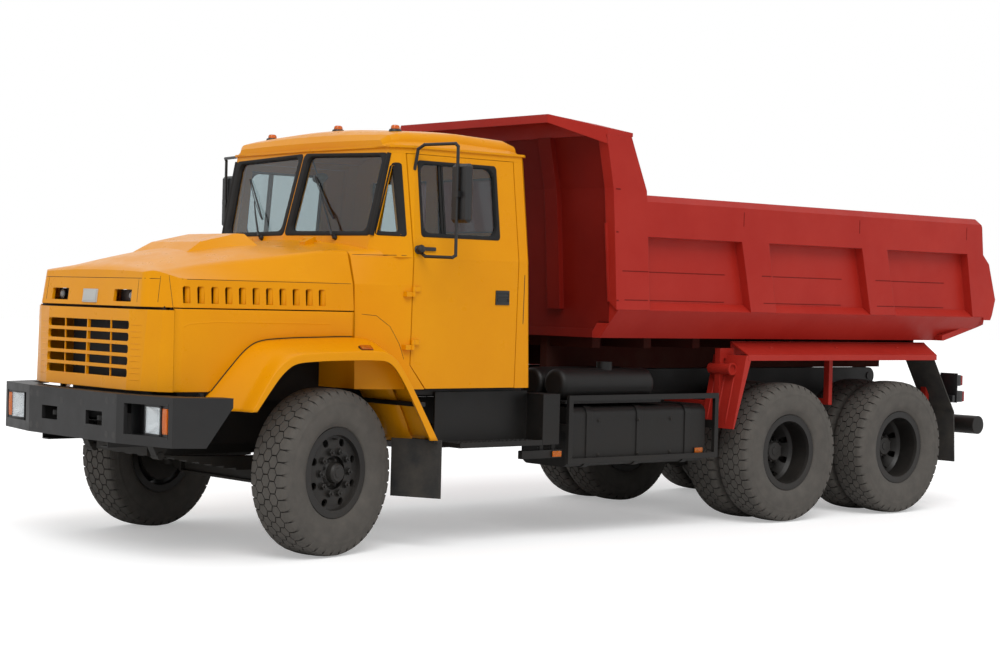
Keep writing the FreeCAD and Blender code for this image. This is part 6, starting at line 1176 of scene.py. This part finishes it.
for side, word in SIDES:
    mesh = bmesh.new()
    y = on_door(1.495, 1.790)[0].y
    for (rear, front), (low, high), (inner, outer), bevel in HANDLE_PARTS:
        corner, opposite = (HOOD_X - rear, y + side * inner, low), (HOOD_X - front, y + side * outer, high)
        solid_block(mesh, corner, opposite, bevel)
    lathe(mesh, PUSH_BUTTON, facing((HOOD_X - 1.456, y - side * 0.006, 1.714), (0, side, 0)), 14)
    piece("door_handle_" + word, mesh, black_plastic, "door_" + word)
    mesh = bmesh.new()
    lathe(mesh, BALL_CLAMP, facing(*on_door(0.727, 2.045)), 22)
    spot = on_door(0.80, 2.055)[0]
    solid_block(mesh, (spot.x - 0.075, spot.y, 2.040), (spot.x + 0.045, spot.y + side * 0.018, 2.066), 0.005)
    piece("mirror_ball_clamp_" + word, mesh, black_plastic, "door_" + word)

# Marker lamps: three amber domes on black moulded bases along the roof's front, screwed down through the
# sheet, and a flat lamp on each front fender, on the bracket by the step and on the frame.
DOME_BASE = [(0.0, -0.01), (0.050, -0.010), (0.050, 0.004), (0.044, 0.018), (0.036, 0.021), (0.0, 0.021)]
DOME = [(0.0345, 0.020), (0.0335, 0.034), (0.029, 0.044), (0.020, 0.0485), (0.0, 0.050)]
MARKER_HIGH = 0.024
MARKER_DEPTH = 0.016
markers = bmesh.new()
domes = bmesh.new()
roof_skin, _ = surface("cab_roof")
for x, y in ((-0.790, 0.750), (-0.850, 0.0), (-0.790, -0.750)):
    spot, normal = seat(roof_skin, (HOOD_X + x, y, 4.0), DOWN)
    place = Matrix.Translation(spot - Vector((0, 0, 0.006))) @ Matrix.Diagonal((1.0, 0.82, 1.0, 1.0))
    lathe(markers, DOME_BASE, place, 28)
    lathe(domes, DOME, place, 28)


def flat_marker(spot, normal, wide):
    """A rectangular marker lamp: a black base and a ribbed lens with a raised middle."""
    place = facing(spot, normal)
    if abs((place.to_3x3() @ Vector((0, 1, 0))).z) < 0.5:
        place = place @ Matrix.Rotation(math.pi / 2, 4, "Z")
    solid_block(markers, (-wide, -MARKER_HIGH, -0.004), (wide, MARKER_HIGH, 0.006), 0.002, place)
    a, b = wide * 0.93, MARKER_HIGH * 0.88
    solid_block(domes, (-a, -b, 0.005), (a, b, MARKER_DEPTH), 0.004, place)
    low, high, b = MARKER_DEPTH - 0.001, MARKER_DEPTH + 0.001, MARKER_HIGH * 0.8
    for k in range(-3, 4):
        a = k * wide * 0.24
        solid_block(domes, (a - 0.0015, -b, low), (a + 0.0015, b, high), 0.0, place)


for side, word in SIDES:
    flat_marker((HOOD_X - 0.236, side * 1.205, 1.377), (0, side * 0.55, 0.84), 0.048)
    flat_marker((0.9375, side * 1.166, 0.622), (0, side, 0), 0.045)
    flat_marker((-0.5495, side * 1.151, 0.600), (0, side, 0), 0.045)
piece("marker_lamp_bases", markers, black_plastic, "chassis")
piece("marker_lamp_lenses", domes, amber_lens, "chassis")

# Cab inside: a grey brown rubber mat on the floor, and a moulded dash with four round gauges and five keys,
# pressed in from the front. The gauges' marks and needles are pale.
dress(dusty_rubber("ribbed_floor_mat", "1E1D1C", 0.35), "cab_floor")
dash_plastic = moulded_plastic("moulded_dash_plastic", "26282A", 0.52)
dress(dash_plastic, "dashboard")
gauges = bmesh.new()
marks = bmesh.new()
for y, r in ((0.36, 0.036), (0.46, 0.055), (0.58, 0.055), (0.68, 0.036)):
    place = facing((HOOD_X - 0.6605, y, 1.905), (-1.0, 0, 0.12))
    bezel = [(r, -0.004), (r, 0.010), (r - 0.005, 0.012), (r - 0.006, 0.004), (r - 0.006, 0.002)]
    lathe(gauges, bezel + [(0.0, 0.002)], place, 28)
    needle = place @ Matrix.Rotation(y * 9.0, 4, "Z")
    solid_block(marks, (-0.0012, -0.2 * r, 0.0025), (0.0012, 0.75 * r, 0.0045), 0.0005, needle)
    for k in range(11):
        tick = place @ Matrix.Rotation(math.radians(-130 + 26 * k), 4, "Z")
        solid_block(marks, (-0.0007, r * 0.66, 0.0022), (0.0007, r * 0.80, 0.003), 0.0, tick)
for k in range(5):
    y = 0.10 + 0.034 * k
    solid_block(gauges, (HOOD_X - 0.668, y, 1.800), (HOOD_X - 0.648, y + 0.024, 1.836), 0.003)
piece("dash_gauges", gauges, black_plastic, "chassis")
piece("gauge_marks", marks, aluminium, "chassis")

# Inside mirror: a shallow oval glass in a black moulded shell,
# on a bent stem screwed to the windscreen's head.
MIRROR_SHELL = [(0.0, -0.022), (0.040, -0.018), (0.058, -0.008), (0.062, 0.0), (0.058, 0.002), (0.0, 0.001)]
MIRROR_STEM = [(HOOD_X - 0.615, 0.0, 2.715), (HOOD_X - 0.64, 0.0, 2.66), (HOOD_X - 0.682, 0.0, 2.565)]
mesh = bmesh.new()
place = facing((HOOD_X - 0.70, 0.0, 2.56), (-1, 0.15, -0.12)) @ Matrix.Diagonal((1.9, 0.62, 1.0, 1.0))
lathe(mesh, MIRROR_SHELL, place, 36)
tube(mesh, MIRROR_STEM, 0.006, 8)
piece("inside_mirror", mesh, black_plastic, "chassis")

# Seats: foam pads in dark grey vinyl on steel boxes. A driver's seat and a bench for two, each a cushion and
# a back with sewn channels, blown up by cloth pressure from a slightly smaller block.
PAD_VOXEL = 0.012
PAD_CAP = 0.022
PAD_CROWN = 0.10
SEW_DEPTH, SEW_WIDTH = 0.010, 0.016
SEAT_X = (HOOD_X - 1.610, HOOD_X - 1.130)
BACK_X = (HOOD_X - 1.672, HOOD_X - 1.600)
BACK_LEAN = -0.11


def seat_vinyl_material():
    """Dark grey seat vinyl: fine leather grain, a soft sheen on the crown and a dusty cast in the folds."""
    material, tree, place = new_material("dark_grey_seat_vinyl")
    grain = add_node(tree, "TexVoronoi", {"Vector": place, "Scale": 380.0})
    crease = add_node(tree, "TexNoise", {"Vector": place, "Scale": 26.0, "Detail": 5.0, "Roughness": 0.6})
    rough = add_node(tree, "Math", {0: grain, 1: crease}, operation="ADD")
    bump = add_node(tree, "Bump", {"Height": rough, "Strength": 0.35, "Distance": 0.002})
    tone = add_node(tree, "Mix", {"Factor": crease, 6: "2B2D2F", 7: "414447"}, data_type="RGBA")
    sheen = add_node(tree, "MapRange", {"Value": crease, "To Min": 0.42, "To Max": 0.60})
    skin = add_node(tree, "BsdfPrincipled", {"Base Color": tone, "Roughness": sheen, "Normal": bump,
                                             "Sheen Weight": 0.15})
    add_node(tree, "OutputMaterial", {"Surface": skin})
    return material


seat_vinyl = seat_vinyl_material()


def pad_block(low, high, lean):
    """A block whose sides pull in between its corners and whose faces crown, leaning back by an angle."""
    mesh = bmesh.new()
    bmesh.ops.create_cube(mesh, size=1.0)
    bmesh.ops.subdivide_edges(mesh, edges=mesh.edges[:], cuts=9, use_grid_fill=True)
    size = Vector([b - a for a, b in zip(low, high)])
    middle = Vector([(a + b) / 2 for a, b in zip(low, high)])
    for v in mesh.verts:
        u = v.co * 2
        pull = [1 - PAD_CROWN * 0.5 * (u[(k + 1) % 3] ** 2 * u[(k + 2) % 3] ** 2) for k in range(3)]
        v.co = Vector([u[k] / 2 * pull[k] * size[k] for k in range(3)])
    turn = Matrix.Translation(middle) @ Matrix.Rotation(lean, 4, "Y")
    bmesh.ops.transform(mesh, matrix=turn, verts=mesh.verts)
    return mesh


def blow_up(thing):
    """Cloth pressure on a voxel remesh of the pad, with each point's travel capped."""
    remesh = thing.modifiers.new("remesh", "REMESH")
    remesh.mode = "VOXEL"
    remesh.voxel_size = PAD_VOXEL
    graph = bpy.context.evaluated_depsgraph_get()
    shape = bpy.data.meshes.new_from_object(thing.evaluated_get(graph))
    thing.modifiers.clear()
    thing.data = shape
    shape.materials.clear()
    shape.materials.append(seat_vinyl)
    start = [v.co.copy() for v in shape.vertices]
    cloth = thing.modifiers.new("cloth", "CLOTH")
    cloth.settings.quality = 5
    cloth.settings.use_pressure = True
    cloth.settings.uniform_pressure_force = 4.0
    cloth.settings.tension_stiffness = 25.0
    cloth.settings.compression_stiffness = 25.0
    cloth.settings.effector_weights.gravity = 0.0
    cloth.collision_settings.use_collision = False
    for step in range(1, 21):
        scene.frame_set(step)
    graph = bpy.context.evaluated_depsgraph_get()
    blown = thing.evaluated_get(graph)
    ends = [v.co.copy() for v in blown.to_mesh().vertices]
    blown.to_mesh_clear()
    thing.modifiers.clear()
    for v, a, b in zip(shape.vertices, start, ends):
        move = b - a
        v.co = a + (move if move.length < PAD_CAP else move.normalized() * PAD_CAP)
    scene.frame_set(1)


def sew(thing, lines):
    """Presses sewn channels into a pad, at places across the cab."""
    for v in thing.data.vertices:
        for y in lines:
            gap = abs(v.co.y - y)
            if gap < SEW_WIDTH * 2:
                sink = SEW_DEPTH * math.exp(-(gap / (SEW_WIDTH * 0.6)) ** 2)
                v.co = v.co - v.normal * sink


def padded(name, low, high, lean, lines):
    """A sewn pad that takes the place of the CAD's seats."""
    thing = piece(name, pad_block(low, high, lean), seat_vinyl, "chassis", 180.0)
    blow_up(thing)
    sew(thing, lines)
    smooth = thing.modifiers.new("smooth", "SUBSURF")
    smooth.levels = smooth.render_levels = 1
    thing.data.shade_smooth()
    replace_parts(thing, "cab_seats")


for word, y0, y1, channels in (("driver", 0.215, 0.745, 6), ("bench", -0.895, -0.085, 8)):
    lines = [y0 + (y1 - y0) * k / channels for k in range(1, channels)]
    a, b = y0 + 0.014, y1 - 0.014
    padded(word + "_seat_cushion", (SEAT_X[0] + 0.012, a, 1.450), (SEAT_X[1] - 0.012, b, 1.560), 0.0, lines)
    padded(word + "_seat_back", (BACK_X[0], a, 1.600), (BACK_X[1], b, 2.118), BACK_LEAN, lines)
    mesh = bmesh.new()
    solid_block(mesh, (SEAT_X[0] + 0.03, y0 + 0.05, 1.158), (SEAT_X[1] - 0.05, y1 - 0.05, 1.445), 0.012)
    for z in (1.22, 1.28, 1.34):
        solid_block(mesh, (SEAT_X[0] + 0.10, y0 + 0.044, z), (SEAT_X[1] - 0.14, y0 + 0.052, z + 0.015), 0.003)
    box = piece(word + "_seat_box", mesh, dash_plastic, "chassis")
    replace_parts(box, "cab_seats")

# Weld beads where the bed's plates meet, laid by hand with their ripples and painted over.
# They run across each post at its foot and its collars, and along each panel's two seams.
WELD_SECTION = ((-0.5, -0.0005), (-0.2, 1.0), (0.2, 1.0), (0.5, -0.0005))
WELD_STEP = 0.022
# width and height of the bead, then its lines: from and to along the truck, from and to in height
WELDS = (
    (0.012, 0.0028, ((0.43, 0.86, 1.735, 1.735), (0.45, 0.80, 2.235, 2.235), (0.44, 0.70, 2.548, 2.548))),
    (0.010, 0.0024, ((0.40, -0.78, 1.952, 1.952), (0.37, -0.78, 1.74, 1.74), (-1.12, -2.18, 1.952, 1.952),
                     (-1.15, -2.18, 1.74, 1.74), (-2.52, -3.55, 1.952, 1.952), (-2.55, -3.55, 1.74, 1.74),
                     (-0.90, -0.90, 2.33, 2.44), (-2.30, -2.30, 2.33, 2.44), (-3.75, -3.75, 2.33, 2.44))))
bed_skin, _ = surface("bed_side_left", "bed_side_right", "bed_floor", "bed_front_wall", "bed_visor")
welds = bmesh.new()
for side, word in SIDES:
    for width, height, lines in WELDS:
        for x0, x1, z0, z1 in lines:
            path = spread([(x0, BESIDE * side, z0), (x1, BESIDE * side, z1)], WELD_STEP)
            raised_line(welds, bed_skin, path, width, height, (0, -side, 0), WELD_SECTION, 0.25, 1.0, 0.06)
# The beads are drawn in the front wall's darker red, which holds painted shade.
piece("bed_weld_beads", welds, shade_darkened_wall_red, "bed")

# Rear fenders' front shields: pressed ribs, the bracket's tube with its ring above them,
# and bolts through the fenders' tops.
TUBE_X, TUBE_Z = -0.905, 1.222
TUBE_RING = [(0.041, 0.0), (0.048, 0.0), (0.048, 0.022), (0.036, 0.022), (0.036, 0.004), (0.0, 0.004)]
shield_skin, _ = surface("rear_fenders")
shield = bmesh.new()
ribbed = bmesh.new()
for side, word in SIDES:
    for y in (0.955, 1.055, 1.155):
        path = spread([(0.4, side * y, 0.80), (0.4, side * y, 1.16)], 0.04)
        raised_line(ribbed, shield_skin, path, 0.020, 0.006, BACK)
    tube(shield, [(TUBE_X, side * 0.93, TUBE_Z), (TUBE_X, side * 1.15, TUBE_Z)], 0.040, 20)
    lathe(shield, TUBE_RING, facing((TUBE_X, side * 1.148, TUBE_Z), (0, side, 0)), 22)
    for x in (-1.4, -2.2, -3.0):
        hex_bolt(shield, *seat(shield_skin, (x, side * 1.12, 3.0), DOWN), 0.015, 0.008)
piece("rear_fender_ribs", ribbed, bed_red, "chassis")
piece("rear_fender_bracket_tubes", shield, bed_red, "chassis")

# Tail lamps: two black moulded bodies on a plate each side, one over the other, carried by a flat bar.
# Each has a red lens outside and an amber one inside.
LAMP_ROWS = ((-3.787, 1.065, 1.160), (-3.815, 0.925, 1.022))
tail = bmesh.new()
tail_red = bmesh.new()
tail_amber = bmesh.new()
for side, word in SIDES:
    mirrored_block(tail, side, (-3.697, -3.688), (1.06, 1.24), (0.920, 1.175), 0.002)
    mirrored_block(tail, side, (-3.664, -3.632), (0.35, 1.238), (0.925, 0.985), 0.003)
    for x, low, high in LAMP_ROWS:
        mirrored_block(tail, side, (x + 0.030, -3.697), (1.07, 1.23), (low, high), 0.006)
        for lens, across in ((tail_red, (1.15, 1.228)), (tail_amber, (1.072, 1.148))):
            mirrored_block(lens, side, (x + 0.002, x + 0.031), across, (low + 0.004, high - 0.004), 0.005)
body = piece("tail_lamp_bodies", tail, black_plastic, "chassis")
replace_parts(body, "lamps")
piece("tail_lamp_red_lenses", tail_red, red_lens, "chassis")
piece("tail_lamp_amber_lenses", tail_amber, amber_lens, "chassis")

# Finishes of the CAD's last nodes. The flaps are reinforced rubber sheet, dull and dusty, and the mirrors are
# moulded black housings on tube arms. The hoist's stages are hard chromed tube with fine scratches.
dress(dusty_rubber("dusty_flap_rubber", "2A2A2A", 0.5), "mud_flaps")
dress(black_plastic, "mirror_left", "mirror_right", "lamps")
chrome = smeared_gloss("hard_chromed_tube", "C9CBCC", 14.0, 5.0, 0.12, 0.34, {"Metallic": 1.0})
dress(chrome, "hoist_stage_1", "hoist_stage_2", "hoist_stage_3", "hoist_stage_4")


# Windows: toughened sheet glass with a slight grey tint, held all round by the rubbers.
# It is clear when looked through straight and mirrors more at a slant.
def window_glass():
    material = bpy.data.materials.new("grey_tinted_window_glass")
    tree = empty_tree(material)
    tint = add_node(tree, "BsdfTransparent", {"Color": "DDE3E4"})
    gloss = add_node(tree, "BsdfGlossy", {"Color": "F4F8FA", "Roughness": 0.02})
    slant = add_node(tree, "LayerWeight", {"Blend": 0.5}).outputs["Facing"]
    steep = add_node(tree, "Math", {0: slant, 1: 5.0}, operation="POWER")
    share = add_node(tree, "MapRange", {"Value": steep, "To Min": 0.04, "To Max": 0.9})
    pane = add_node(tree, "MixShader", {"Fac": share, 1: tint, 2: gloss})
    add_node(tree, "OutputMaterial", {"Surface": pane})
    return material


dress(window_glass(), "cab_glass", "door_glass_left", "door_glass_right")
